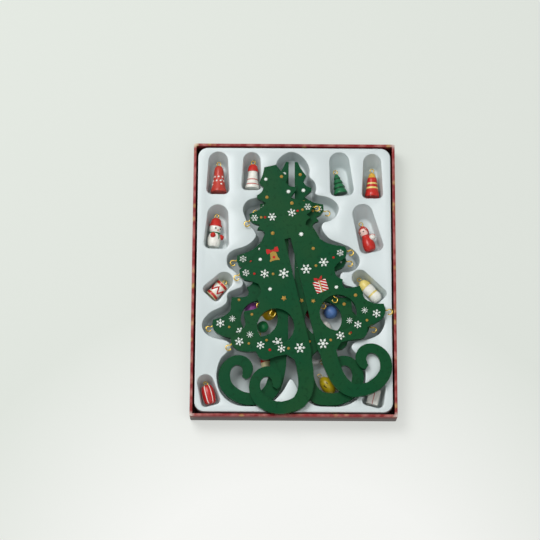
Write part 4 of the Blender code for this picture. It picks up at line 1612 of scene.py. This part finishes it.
@dataclass
class TreePanel:
    """One slotted tree panel: a painted board, its prints and its cup hooks.

    The hooks' sweep is in degrees, and the other turns are in radians.
    """

    label: str
    place: Matrix
    slot_from_top: bool
    print_stretch: float
    thickness: float = 0.006
    slot_half: float = 0.0034
    hole_radius: float = 0.0202
    hole_share: Pair = (0.127, 0.6536)
    fork_share: float = 0.780
    front_slot_end: float = 0.312
    back_slot_end: float = 0.750
    arris: float = 0.0004
    wire: float = 0.0013
    loop: float = 0.0029
    stem: float = 0.0022
    seat: float = 0.005
    sweep: float = 285.0
    ink_rise: float = 0.00012
    loop_start: float = 0.32
    loop_steps: int = 26
    neck: float = 0.0011
    neck_pulls: Pair = (0.0009, 0.0007)
    print_turn: float = 0.35
    curve_steps: int = 5
    hole_steps: int = 72

    @property
    def body(self) -> str:
        """Name of the frame's body that this panel rides on."""
        return self.label + "_panel"

    def hole(self, side: int) -> Vector:
        """Middle of the round hole on the left, at -1, or on the right, at 1."""
        return tree_point(side * self.hole_share[0], self.hole_share[1])

    def crown(self) -> Outline:
        """Right edge of the branches from the top down to the foot.

        Returns:
            Points in metres from the panel's middle.
        """
        edge: Outline = []
        runs = [[tree_point(*share) for share in run] for run in CROWN_SHARES]
        for run, following in zip(runs, runs[1:] + [[]]):
            points = smooth_run(run + following[:1], self.curve_steps)
            edge.extend(points[:-1] if following else points)
        return edge

    def leg(self) -> Outline:
        """Edge of the right scroll foot, out along one side and back along the other.

        Returns:
            Points in metres from the panel's middle.
        """
        centre = smooth_run([tree_point(u, v) for u, v, _ in LEG_SHARES], self.curve_steps)
        widths = smooth_run(
            [Vector((width * TREE_HEIGHT, 0.0, 0.0)) for _, _, width in LEG_SHARES], self.curve_steps
        )
        upper: Outline = []
        lower: Outline = []
        for index, (point, width) in enumerate(zip(centre, widths)):
            ahead = centre[min(index + 1, len(centre) - 1)]
            along = (ahead - centre[max(index - 1, 0)]).normalized()
            side = Vector((-along.y, along.x, 0.0)) * width.x / 2
            upper.append(point + side)
            lower.append(point - side)
        return upper + lower[::-1]

    def outline(self) -> Outline:
        """Closed outline of the board, with its slot from the top or from the fork.

        Returns:
            Points of the whole board in order.
        """
        edge = self.crown() + self.leg()
        fork, half = tree_point(0.0, self.fork_share), self.slot_half
        if self.slot_from_top:
            end = tree_point(0.0, self.back_slot_end).y
            right = plan([(half, 0.0)]) + edge + [fork]
            return right + self.mirrored(right)[1:] + plan([(-half, end), (half, end)])
        end = tree_point(0.0, self.front_slot_end).y
        right = edge + plan([(half, fork.y), (half, end)])
        return right + self.mirrored(right)

    @staticmethod
    def mirrored(points: Sequence[Vector]) -> Outline:
        """Same points on the other side of the axis, in the opposite order."""
        return [Vector((-point.x, point.y, point.z)) for point in reversed(points)]

    def make_board(self, bench: Bench) -> None:
        """Make the painted board, with its arrises just taken off.

        Args:
            bench: The shared tools and finishes.
        """
        bm = bmesh.new()
        loops = [self.outline()]
        loops += [circle(self.hole(side), self.hole_radius, self.hole_steps) for side in (-1, 1)]
        faces = []
        for z in (0.0, self.thickness):
            rings = [add_ring(bm, points, z) for points in loops]
            fill(bm, rings)
            faces.append(rings)
        for pair in zip(*faces):
            bridge(bm, pair)
        name = "painted_board_" + self.label
        piece = show_piece(name, mesh_of(name, bm, self.place), bench.board)
        bevel = piece.modifiers.new("arris", "BEVEL")
        bevel.width = self.arris
        bevel.segments = 2
        bevel.limit_method = "ANGLE"
        bevel.angle_limit = math.radians(60)
        bevel.harden_normals = True
        frame_piece(settled(piece), self.body, "green_board", "tree_panel_" + self.label)

    def hook_path(self, side: int) -> Outline:
        """Centre line of a cup hook: a straight shank, a tight bend and an open loop.

        Args:
            side: Minus one for a left hook, and one for a right one.

        Returns:
            Points from the shank's end to the loop's end.
        """
        centre = Vector((self.stem + self.loop, 0.0, 0.0))
        first, sweep = self.loop_start * side, math.radians(self.sweep) * side

        def on_loop(turn: float) -> Vector:
            """Point of the loop at a turn from where it meets the shank."""
            return centre + spoke(math.pi - turn, self.loop)

        start, end = Vector((self.stem - self.neck, 0.0, 0.0)), on_loop(first)
        heading = (on_loop(first + 0.01 * side) - end).normalized()
        leaving, arriving = self.neck_pulls
        pulls = (start + Vector((leaving, 0.0, 0.0)), end - heading * arriving)
        path = [Vector((-self.seat, 0.0, 0.0)), *interpolate_bezier(start, *pulls, end, 6)]
        shares = [step / self.loop_steps for step in range(1, self.loop_steps + 1)]
        return path + [on_loop(first + (sweep - first) * share) for share in shares]

    def make_hooks(self, bench: Bench) -> None:
        """Bend one left and one right hook, and set copies of each in the branch tips and holes.

        Args:
            bench: The shared tools and finishes.
        """
        for side, word in ((-1, "left"), (1, "right")):
            spots, nodes = [], []
            for level, u, v, dip in HOOK_SHARES:
                turn = -math.radians(dip) if side > 0 else math.pi + math.radians(dip)
                spots.append((tree_point(side * u, v), turn))
                nodes.append("%s_hook_%s_%s" % (self.label, word, level))
            spots.append((self.hole(side) + Vector((0.0, self.hole_radius, 0.0)), -math.pi / 2))
            nodes.append("%s_hole_hook_%s" % (self.label, word))
            middle = Vector((0.0, 0.0, self.thickness / 2))
            places = [self.place @ placed(spot + middle, turn) for spot, turn in spots]
            name = "%s_cup_hooks_%s" % (self.label, word)
            form = bench.bend(name + "_wire", self.hook_path(side), self.wire / 2, bench.brass)
            mesh = form.data
            bpy.data.objects.remove(form, do_unlink=True)
            piece = bench.set_out(name, mesh, places, bench.brass)
            frame_piece(piece, self.body, "brass_wire", *nodes)

    def on_board(self, spot: Vector, reach: float) -> Vector:
        """Push a print's middle away from the round holes until the whole print is on the board.

        Args:
            spot: Where the print would be.
            reach: Half of the print's size.

        Returns:
            Where the print goes.
        """
        least = self.hole_radius + self.arris + reach
        for side in (-1, 1):
            away = spot - self.hole(side)
            if away.length < least:
                spot = self.hole(side) + away.normalized() * least
        return spot

    def printed_place(self, x: float, y: float, size: float = 1.0, turn: float = 0.0) -> Matrix:
        """Place of a print, from millimetres right of the axis and below the top.

        Args:
            x: Millimetres right of the axis.
            y: Millimetres below the top.
            size: The print's width in metres, or 1 where its shape is in metres already.
            turn: Its turn in radians.

        Returns:
            The print's place on the board.
        """
        spot = Vector((x * MM, -y * MM * self.print_stretch, 0.0))
        if size < 1.0:
            spot = self.on_board(spot, size / 2)
        spot.z = self.thickness
        return self.place @ placed(spot, turn) @ Matrix.Diagonal((size, size, 1.0, 1.0))

    def make_prints(self, bench: Bench) -> None:
        """Print the flakes, stars and dots, each turned by a few steps so that no two rows match.

        Args:
            bench: The shared tools and finishes.
        """
        for number, (motif, spots) in enumerate(PRINTS.items()):
            name, hue = "%s_%s" % (self.label, motif.value), INKS[motif]
            form = plates(name + "_ink", motif_outlines(motif), -self.ink_rise, self.ink_rise)
            places = [
                self.printed_place(x, y, size * MM, self.print_turn * ((index * 7 + number * 3) % 5 - 2))
                for index, (x, y, size) in enumerate(spots)
            ]
            frame_piece(bench.set_out(name, form, places, bench.ink(hue)), self.body, TRIM_SLOTS[hue])

    def make_pictures(self, bench: Bench) -> None:
        """Print the gold bell with its red bow, and the striped parcel, layer on layer.

        Args:
            bench: The shared tools and finishes.
        """
        for word, outlines, share, hue, (x, y) in PICTURES:
            name = "%s_printed_%s" % (self.label, word)
            scaled = [[point * MM for point in outline] for outline in outlines]
            mesh = plates(name, scaled, -self.ink_rise, self.ink_rise * share)
            mesh.transform(self.printed_place(x, y))
            frame_piece(show_piece(name, mesh, bench.ink(hue)), self.body, TRIM_SLOTS[hue])

    def build(self, bench: Bench) -> None:
        """Make the whole panel.

        Args:
            bench: The shared tools and inks.
        """
        self.make_board(bench)
        self.make_hooks(bench)
        self.make_prints(bench)
        self.make_pictures(bench)


# The ornaments

# Turned profiles, as shares of the length from the eye end and shares of the radius.
PROFILES: dict[str, tuple[Pair, ...]] = {
    "bell": ((0.0, 0.30), (0.05, 0.49), (0.17, 0.58), (0.50, 0.68), (0.78, 0.84), (0.94, 1.0), (1.0, 0.97)),
    "capped": (
        (0.0, 0.38), (0.06, 0.62), (0.24, 0.76), (0.29, 0.76), (0.30, 0.62), (0.50, 0.68), (0.80, 0.84),
        (0.90, 1.0), (1.0, 0.98),
    ),
    "tiers": (
        (0.0, 0.16), (0.20, 0.50), (0.25, 0.40), (0.44, 0.70), (0.49, 0.54), (0.68, 0.86), (0.73, 0.68),
        (0.93, 1.0), (1.0, 0.90),
    ),
    "banded": (
        (0.0, 0.24), (0.06, 0.44), (0.20, 0.55), (0.23, 0.66), (0.45, 0.72), (0.75, 0.86), (0.88, 1.0),
        (1.0, 0.94),
    ),
    "snowman": (
        (0.0, 0.42), (0.05, 0.68), (0.20, 0.82), (0.24, 0.93), (0.29, 0.93), (0.31, 0.84), (0.41, 0.88),
        (0.50, 0.70), (0.54, 0.72), (0.64, 0.95), (0.78, 1.0), (0.92, 0.90), (1.0, 0.74),
    ),
    "figure": (
        (0.0, 0.28), (0.06, 0.56), (0.18, 0.80), (0.30, 0.78), (0.40, 0.56), (0.45, 0.62), (0.58, 0.86),
        (0.78, 1.0), (0.93, 0.92), (1.0, 0.70),
    ),
    "drum": (
        (0.0, 0.98), (0.02, 1.0), (0.20, 1.0), (0.22, 0.92), (0.78, 0.92), (0.80, 1.0), (0.98, 1.0),
        (1.0, 0.98),
    ),
    "double": (
        (0.0, 0.36), (0.04, 0.66), (0.16, 0.90), (0.30, 0.96), (0.34, 0.90), (0.48, 1.0), (0.60, 0.93),
        (0.65, 0.86), (0.70, 0.93), (0.84, 0.98), (0.96, 0.74), (1.0, 0.44),
    ),
    "barrel": ((0.0, 0.68), (0.08, 0.86), (0.32, 1.0), (0.70, 1.0), (0.93, 0.85), (1.0, 0.66)),
    "block": ((0.0, 0.94), (0.04, 1.0), (0.96, 1.0), (1.0, 0.94)),
    "ball": (
        (0.0, 0.26), (0.06, 0.50), (0.18, 0.78), (0.34, 0.96), (0.50, 1.0), (0.66, 0.95), (0.82, 0.77),
        (0.94, 0.46), (1.0, 0.12),
    ),
    "onion": (
        (0.0, 0.24), (0.08, 0.42), (0.20, 0.68), (0.38, 0.92), (0.56, 1.0), (0.74, 0.92), (0.88, 0.66),
        (0.97, 0.30), (1.0, 0.10),
    ),
    "egg": (
        (0.0, 0.28), (0.08, 0.56), (0.24, 0.84), (0.46, 1.0), (0.68, 0.94), (0.86, 0.68), (0.97, 0.30),
        (1.0, 0.10),
    ),
    "candle": ((0.0, 0.30), (0.10, 0.60), (0.30, 0.70), (0.34, 1.0), (0.94, 1.0), (1.0, 0.90)),
}


@dataclass
class Ornament:
    """One turned ornament: its body, its painted trim and its brass screw eye.

    Its place, length and radius are in millimetres, and its lean in degrees.
    """

    name: str
    profile: str
    x: float
    y: float
    lean: float
    length: float
    radius: float
    slot: str
    coats: Coats
    way: Along = Along.LENGTH
    squareness: float = 2.0
    facing: Pair | None = None
    softening: int = 2
    floor_z: float = 0.0037
    eye_wire: float = 0.0010
    eye_loop: float = 0.0021
    eye_stem: float = 0.0007
    eye_seat: float = 0.0035
    eye_sweep: float = 330.0
    eye_start: float = 0.18
    eye_steps: int = 30
    sides: int = 44
    surface_step: float = 0.03
    line_steps: int = 6
    dot_height: float = 0.45

    @property
    def body(self) -> str:
        """Name of the frame's body that this ornament is."""
        return "loose_" + self.name

    @property
    def place(self) -> Matrix:
        """Place of the ornament's middle, with its eye end along local +Y."""
        spot = Vector((self.x * MM, self.y * MM, self.floor_z + self.radius * MM))
        return placed(spot, math.radians(self.lean))

    def rows(self) -> list[Pair]:
        """Softened profile as heights along Y and radii, in metres.

        Returns:
            A height and a radius for each row.
        """
        shares = soften(PROFILES[self.profile], self.softening)
        length, radius = self.length * MM, self.radius * MM
        return [(length * (0.5 - along), out * radius) for along, out in shares]

    def reach(self, along: float) -> float:
        """Radius at a share of the length from the eye end.

        Args:
            along: Share of the length.

        Returns:
            The radius there, in metres.
        """
        rows = PROFILES[self.profile]
        for (a, p), (b, q) in zip(rows, rows[1:]):
            if a <= along <= b:
                return (p + (q - p) * (along - a) / (b - a)) * self.radius * MM
        return rows[-1][1] * self.radius * MM

    def surface(self, along: float, degrees: float) -> tuple[Vector, Vector]:
        """Point on the body and the direction that leaves it there.

        Args:
            along: Share of the length from the eye end.
            degrees: Turn round the axis from straight up, towards local +X.

        Returns:
            The point and its normal in the ornament's own frame.
        """
        turn = math.radians(degrees)
        away = Vector((math.sin(turn), 0.0, math.cos(turn)))
        low, high = max(0.0, along - self.surface_step), min(1.0, along + self.surface_step)
        slope = (self.reach(high) - self.reach(low)) / ((high - low) * self.length * MM)
        spot = away * self.reach(along) + Vector((0.0, self.length * MM * (0.5 - along), 0.0))
        return spot, (away + Vector((0.0, slope, 0.0))).normalized()

    def dress(self, piece: Object, hue: Hue) -> None:
        """Put a painted trim in the frame, on this ornament's body."""
        frame_piece(piece, self.body, TRIM_SLOTS[hue])

    def make_body(self) -> None:
        """Turn and paint the body."""
        name = "turned_" + self.name
        mesh = revolved(name, self.rows(), self.place, self.sides, self.squareness)
        paint = TurnedPaint(
            name=self.name + "_enamel", coats=self.coats, way=self.way, facing=self.facing
        )
        piece = show_piece(name, mesh, paint.build(), sharp=50.0)
        frame_piece(piece, self.body, self.slot, self.name)

    def make_eye(self, bench: Bench) -> None:
        """Bend the brass screw eye.

        Args:
            bench: The shared tools and finishes.
        """
        centre = Vector((self.eye_stem + self.eye_loop, 0.0, 0.0))
        sweep = math.radians(self.eye_sweep) - self.eye_start
        path = plan([(-self.eye_seat, 0.0), (0.0, 0.0)])
        for step in range(self.eye_steps + 1):
            turn = math.pi - self.eye_start - sweep * step / self.eye_steps
            path.append(centre + spoke(turn, self.eye_loop))
        place = self.place @ placed((0.0, self.length * MM / 2, 0.0), math.pi / 2)
        wire = [place @ point for point in path]
        piece = bench.bend(self.name + "_screw_eye", wire, self.eye_wire / 2, bench.brass)
        frame_piece(piece, self.body, "brass_wire", self.name + "_eye")

    def dots(self, bench: Bench, word: str, spots: Sequence[Pair], size: float, hue: Hue) -> None:
        """Lay small raised dots of paint on the body.

        Args:
            bench: The shared tools.
            word: What the dots are, for the piece's name.
            spots: Shares along and degrees from straight up.
            size: Diameter of a dot, in metres.
            hue: Colour of the dots.
        """
        form = ball(self.name + "_dot", 0.5, 16, 8)
        stretch = Matrix.Diagonal((size, size, size * self.dot_height, 1.0))
        places = []
        for along, degrees in spots:
            spot, away = self.surface(along, degrees)
            facing = away.to_track_quat("Z", "Y").to_matrix().to_4x4()
            places.append(self.place @ Matrix.Translation(spot) @ facing @ stretch)
        name = "%s_%s" % (self.name, word)
        self.dress(bench.set_out(name, form, places, bench.ink(hue)), hue)

    def bead(self, bench: Bench, word: str, centre: Vector, radius: float, hue: Hue) -> None:
        """Add a small painted bead at a place in the ornament's own frame.

        Args:
            bench: The shared tools and inks.
            word: The bead's own word in its name.
            centre: Its middle.
            radius: Its radius.
            hue: Its colour.
        """
        name = "%s_%s" % (self.name, word)
        mesh = ball(name, radius, 28, 16, self.place @ Matrix.Translation(centre))
        self.dress(show_piece(name, mesh, bench.ink(hue)), hue)

    def line(self, bench: Bench, word: str, spots: Sequence[Pair], width: float, hue: Hue) -> None:
        """Draw a line of paint over the body through places along and round it.

        Args:
            bench: The shared tools and finishes.
            word: What the line is, for the piece's name.
            spots: Shares along and degrees from straight up.
            width: Width of the line, in metres.
            hue: Colour of the line.
        """
        shares = [step / self.line_steps for step in range(self.line_steps)]
        places = [
            (a + (b - a) * share, p + (q - p) * share)
            for (a, p), (b, q) in zip(spots, spots[1:]) for share in shares
        ]
        path = [self.place @ self.surface(*spot)[0] for spot in places + [spots[-1]]]
        self.dress(bench.bend("%s_%s" % (self.name, word), path, width / 2, bench.ink(hue)), hue)

    def trim(self, bench: Bench) -> None:
        """Add what only this kind of ornament has. A plain one has nothing."""

    def build(self, bench: Bench) -> None:
        """Make the whole ornament.

        Args:
            bench: The shared tools and inks.
        """
        self.make_body()
        self.make_eye(bench)
        self.trim(bench)


class DottedBell(Ornament):
    """Red bell with rows of white dots, and one blue one."""

    def trim(self, bench: Bench) -> None:
        """Add three rows of dots, and the blue one between them.

        Args:
            bench: The shared tools and inks.
        """
        rows = ((0.44, range(-45, 315, 45)), (0.60, range(-60, 300, 40)), (0.73, range(25, 385, 90)))
        spots = [(along, degrees) for along, turns in rows for degrees in turns]
        self.dots(bench, "cream_dots", spots, 0.0022, Hue.WHITE)
        self.dots(bench, "blue_dot", [(0.56, 34.0)], 0.0017, Hue.INK_BLUE)


class Snowman(Ornament):
    """Snowman with a red hat, a green scarf and red mittens."""

    def trim(self, bench: Bench) -> None:
        """Add the eyes, nose, scarf and mittens.

        Args:
            bench: The shared tools and finishes.
        """
        self.dots(bench, "eyes", [(0.385, 6.0), (0.385, 60.0)], 0.0020, Hue.BLACK)
        self.dots(bench, "nose", [(0.44, 34.0)], 0.0017, Hue.CARROT)
        neck = 0.525
        ring = [(neck, degrees) for degrees in range(-180, 181, 20)]
        self.line(bench, "scarf", ring, 0.0015, Hue.LEAF)
        self.line(bench, "scarf_tail", [(neck, 38.0), (0.60, 48.0), (0.74, 44.0)], 0.0013, Hue.LEAF)
        radius, length = self.radius * MM, self.length * MM
        for word, across, up in (("left", -0.18, 0.944), ("right", 1.0, 0.0)):
            spot = Vector((radius * across, -length * 0.14, radius * up))
            self.bead(bench, word + "_mitten", spot, 0.0030, Hue.RED)


class RobedFigure(Ornament):
    """Round-headed figure in a red robe and hood, with a cream cuff."""

    cuff_radius: float = 0.0035

    def trim(self, bench: Bench) -> None:
        """Add the eyes, the hood's edge and the cuff.

        Args:
            bench: The shared tools and finishes.
        """
        self.dots(bench, "eyes", [(0.235, -58.0), (0.235, -12.0)], 0.0016, Hue.BLACK)
        brow = [(0.10 + 0.09 * max(0, abs(step) - 2), -26.0 + 17.0 * step) for step in range(-4, 5)]
        self.line(bench, "hood_edge", brow, 0.0013, Hue.RED_SOFT)
        radius, length = self.radius * MM, self.length * MM
        spot = Vector((radius * 0.9, -length * 0.05, radius * 0.45))
        self.bead(bench, "cuff", spot, self.cuff_radius, Hue.WHITE)
        above = spot + Vector((0.0, 0.0, 0.0006))
        lip = [self.place @ (above + spoke(0.2 + 0.22 * step, self.cuff_radius)) for step in range(12)]
        self.dress(bench.bend(self.name + "_cuff_edge", lip, 0.0005, bench.ink(Hue.RED)), Hue.RED)


class Drum(Ornament):
    """Toy drum with red hoops and a red zigzag cord."""

    def trim(self, bench: Bench) -> None:
        """Add the cord."""
        cord = [(0.30 if step % 2 else 0.70, -180.0 + 36.0 * step) for step in range(11)]
        self.line(bench, "cord", cord, 0.0016, Hue.INK_RED)


class SpottedFruit(Ornament):
    """Mustard fruit with a few dark marks."""

    def trim(self, bench: Bench) -> None:
        """Add the marks."""
        self.line(bench, "first_mark", [(0.42, -34.0), (0.62, -28.0)], 0.0010, Hue.BLACK)
        self.line(bench, "second_mark", [(0.36, -4.0), (0.48, 2.0)], 0.0009, Hue.BLACK)


def stripes(count: int, width: float, first: float, ground: Hue, stripe: Hue) -> Coats:
    """Space even stripes round a piece.

    Args:
        count: How many stripes go round.
        width: Width of a stripe, as a share of a turn.
        first: Where one stripe starts, as a share of a turn from the underside.
        ground: Colour between the stripes.
        stripe: Colour of the stripes.

    Returns:
        Places and colours, in order.
    """
    starts = sorted((first + step / count) % 1.0 for step in range(count))
    coats = [(0.0, ground)]
    for start in starts:
        coats += [(start, stripe), (start + width, ground)]
    return tuple(coats)


ORNAMENTS: tuple[Ornament, ...] = (
    DottedBell("red_bell", "bell", -84.54, 116.86, 0.0, 30.6, 9.02, "red_paint", ((0.0, Hue.RED_SOFT),)),
    Ornament(
        "capped_bell", "capped", -46.48, 120.44, -2.0, 27.9, 8.04, "white_paint",
        ((0.0, Hue.RED), (0.295, Hue.WHITE), (0.625, Hue.RED_SOFT), (0.665, Hue.WHITE), (0.825, Hue.RED_SOFT),
         (0.87, Hue.WHITE)),
    ),
    Ornament(
        "mini_tree", "tiers", 49.89, 112.09, 13.0, 23.7, 8.04, "green_paint",
        # Darker green is painted in the grooves under each tier and on the base as painted shade.
        ((0.0, Hue.LEAF), (0.20, Hue.LEAF_DEEP), (0.27, Hue.LEAF), (0.44, Hue.LEAF_DEEP), (0.51, Hue.LEAF),
         (0.68, Hue.LEAF_DEEP), (0.75, Hue.LEAF), (0.97, Hue.LEAF_DEEP)), softening=1,
    ),
    Ornament(
        "banded_bell", "banded", 87.64, 111.49, 0.0, 27.9, 8.2, "red_paint",
        ((0.0, Hue.GOLD), (0.215, Hue.RED), (0.43, Hue.BUTTER), (0.50, Hue.RED), (0.61, Hue.BUTTER),
         (0.69, Hue.RED)),
    ),
    Snowman(
        "snowman", "snowman", -88.17, 54.92, -6.0, 33.0, 7.63, "white_paint",
        ((0.0, Hue.RED), (0.30, Hue.WHITE)),
    ),
    RobedFigure(
        "robed_figure", "figure", 80.92, 49.25, 20.0, 29.4, 7.05, "red_paint",
        ((0.0, Hue.RED), (0.10, Hue.SKIN), (0.375, Hue.RED)), facing=(0.428, 0.17),
    ),
    Drum(
        "drum", "drum", -85.08, -11.19, -44.0, 18.9, 7.05, "red_paint",
        ((0.0, Hue.CREAM), (0.035, Hue.INK_RED), (0.185, Hue.CREAM), (0.225, Hue.WHITE), (0.775, Hue.CREAM),
         (0.815, Hue.INK_RED), (0.965, Hue.CREAM)),
    ),
    Ornament(
        "double_bulb", "double", 84.44, -11.04, 43.0, 29.4, 6.89, "white_paint",
        ((0.0, Hue.BUTTER), (0.32, Hue.WHITE), (0.62, Hue.BUTTER), (0.69, Hue.WHITE)),
    ),
    Ornament(
        "barrel", "barrel", -92.54, -129.25, 15.0, 20.4, 7.38, "red_paint",
        stripes(7, 0.022, 0.42, Hue.INK_RED, Hue.WHITE), Along.ROUND,
    ),
    Ornament(
        "gift_block", "block", 87.21, -131.04, -14.0, 16.8, 6.56, "white_paint",
        ((0.0, Hue.WHITE), (0.25, Hue.RED_SOFT), (0.27, Hue.WHITE), (0.49, Hue.RED_SOFT), (0.51, Hue.WHITE),
         (0.74, Hue.RED_SOFT), (0.76, Hue.WHITE)), Along.ROUND, 8.0, softening=1, sides=64,
    ),
    Ornament("purple_ball", "ball", -46.59, -32.69, -50.0, 15.6, 7.8, "purple_paint", ((0.0, Hue.PURPLE),)),
    Ornament(
        "yellow_onion", "onion", -26.87, -37.91, -84.0, 16.2, 7.33, "yellow_paint", ((0.0, Hue.MUSTARD),),
    ),
    Ornament("green_ball", "ball", -33.9, -52.24, 150.0, 13.2, 6.55, "green_paint", ((0.0, Hue.BALL_GREEN),)),
    Ornament("red_ball", "ball", 20.68, -36.27, 30.0, 15.6, 7.8, "red_paint", ((0.0, Hue.BALL_RED),)),
    Ornament("blue_ball", "ball", 40.62, -35.52, -35.0, 15.6, 7.8, "blue_paint", ((0.0, Hue.BALL_BLUE),)),
    Ornament("white_egg", "egg", 34.33, -51.49, -128.0, 16.8, 6.24, "white_paint", ((0.0, Hue.WHITE),)),
    Ornament("silver_bell", "bell", 20.26, -91.64, -90.0, 16.8, 6.24, "white_paint", ((0.0, Hue.SILVER),)),
    SpottedFruit("yellow_lemon", "egg", 37.31, -117.91, 40.0, 21.6, 7.8, "yellow_paint", ((0.0, Hue.OCHRE),)),
    Ornament(
        "cream_candle", "candle", -30.28, -91.34, 12.0, 18.6, 5.93, "cream_paint",
        ((0.0, Hue.CREAM), (0.32, Hue.RED), (0.55, Hue.CREAM)),
    ),
)


# The studio


@dataclass
class Studio:
    """Pale floor, soft light from above the tree's top, and the camera of the photograph."""

    camera_place: Triple = (-0.0264, -0.5373, 2.0470)
    tilt: float = 15.11
    roll: float = 0.35
    focal_share: float = 1900 / 540
    sensor: float = 36.0
    clip_end: float = 50.0
    floor_half: float = 4.0
    floor_drop: float = 0.0002
    sky: float = 0.38
    backdrop_span: Pair = (0.55, 0.25)
    key_place: Triple = (-0.75, 0.7, 1.7)
    key_size: float = 1.0
    key_power: float = 25.0
    fill_place: Triple = (0.5, -0.55, 1.8)
    fill_size: float = 0.9
    fill_power: float = 5.5

    def add_camera(self) -> None:
        """Set the camera at the photograph's viewpoint."""
        data = bpy.data.cameras.new("camera")
        data.sensor_width = self.sensor
        data.lens = self.sensor * self.focal_share
        data.clip_end = self.clip_end
        camera = put("camera", data)
        tilt = Matrix.Rotation(math.radians(self.tilt), 4, "X")
        roll = Matrix.Rotation(math.radians(self.roll), 4, "Z")
        camera.matrix_world = Matrix.Translation(self.camera_place) @ (tilt @ roll)
        bpy.context.scene.camera = camera

    def add_lamp(self, name: str, place: Vector, size: float, power: float) -> None:
        """Add a square soft lamp that looks at the box.

        Args:
            name: The lamp's name.
            place: Where it hangs.
            size: Its side in metres.
            power: Its power in watts.
        """
        data = bpy.data.lights.new(name, "AREA")
        data.size = size
        data.energy = power
        facing = (-place).to_track_quat("-Z", "Y").to_matrix().to_4x4()
        put(name, data).matrix_world = Matrix.Translation(place) @ facing

    def add_floor(self) -> None:
        """Lay the table top under the box."""
        half = self.floor_half
        mesh = bpy.data.meshes.new("studio_floor")
        corners = plan([(-half, -half), (half, -half), (half, half), (-half, half)])
        mesh.from_pydata(corners, [], [(0, 1, 2, 3)])
        floor = show_piece("studio_floor", mesh, PaleTable().build())
        floor.location.z = -self.floor_drop

    def light_sky(self) -> None:
        """Light the scene evenly from a dim ceiling, with a pale backdrop round the horizon.

        The camera, metal and gloss see the backdrop, and the ceiling over the box stays dim.
        """
        world = bpy.data.worlds.new("studio_sky")
        bpy.context.scene.world = world
        world.use_nodes = True
        tree = world.node_tree
        tree.nodes.clear()
        seen = seen_by(tree, "Is Camera Ray", "Is Glossy Ray")
        look = add_node(tree, "ShaderNodeTexCoord")
        axes = add_node(tree, "ShaderNodeSeparateXYZ", {0: look.outputs["Generated"]})
        high, low = self.backdrop_span
        level = add_node(
            tree, "ShaderNodeMapRange", {"From Min": high, "From Max": low, "Value": axes.outputs["Z"]}
        )
        shown = add_node(
            tree, "ShaderNodeMath", {"operation": "MULTIPLY", 0: seen, 1: level.outputs["Result"]}
        )
        glow, backdrop = [
            add_node(tree, "ShaderNodeBackground", {"Color": tone, "Strength": strength})
            for tone, strength in (((1.0, 1.0, 1.0, 1.0), self.sky), (Hue.FLOOR.linear, 1.0))
        ]
        both = add_node(
            tree, "ShaderNodeMixShader",
            {0: shown.outputs[0], 1: glow.outputs[0], 2: backdrop.outputs[0]},
        )
        add_node(tree, "ShaderNodeOutputWorld", {0: both.outputs[0]})

    def build(self) -> None:
        """Set up the whole studio."""
        bpy.context.scene.view_settings.view_transform = "Standard"
        self.add_camera()
        self.add_floor()
        self.light_sky()
        self.add_lamp("key_lamp", Vector(self.key_place), self.key_size, self.key_power)
        self.add_lamp("fill_lamp", Vector(self.fill_place), self.fill_size, self.fill_power)
        LOG.info("studio set")


def main() -> None:
    """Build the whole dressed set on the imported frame."""
    logging.basicConfig(level=logging.INFO)
    for old in list(bpy.data.objects):
        bpy.data.objects.remove(old, do_unlink=True)
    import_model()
    Studio().build()
    bench = Bench()
    CardBox().build()
    Liner().build()
    back = TREE_TOP + Vector((0.0, 0.0, PANEL_BACK_Z))
    front = TREE_TOP + FRONT_SHIFT + Vector((0.0, 0.0, PANEL_FRONT_Z))
    TreePanel("back", placed(back), slot_from_top=True, print_stretch=0.987).build(bench)
    turned = placed(front, math.radians(FRONT_TURN))
    TreePanel("front", turned, slot_from_top=False, print_stretch=1.0).build(bench)
    for ornament in ORNAMENTS:
        ornament.build(bench)


if __name__ == "__main__":
    main()
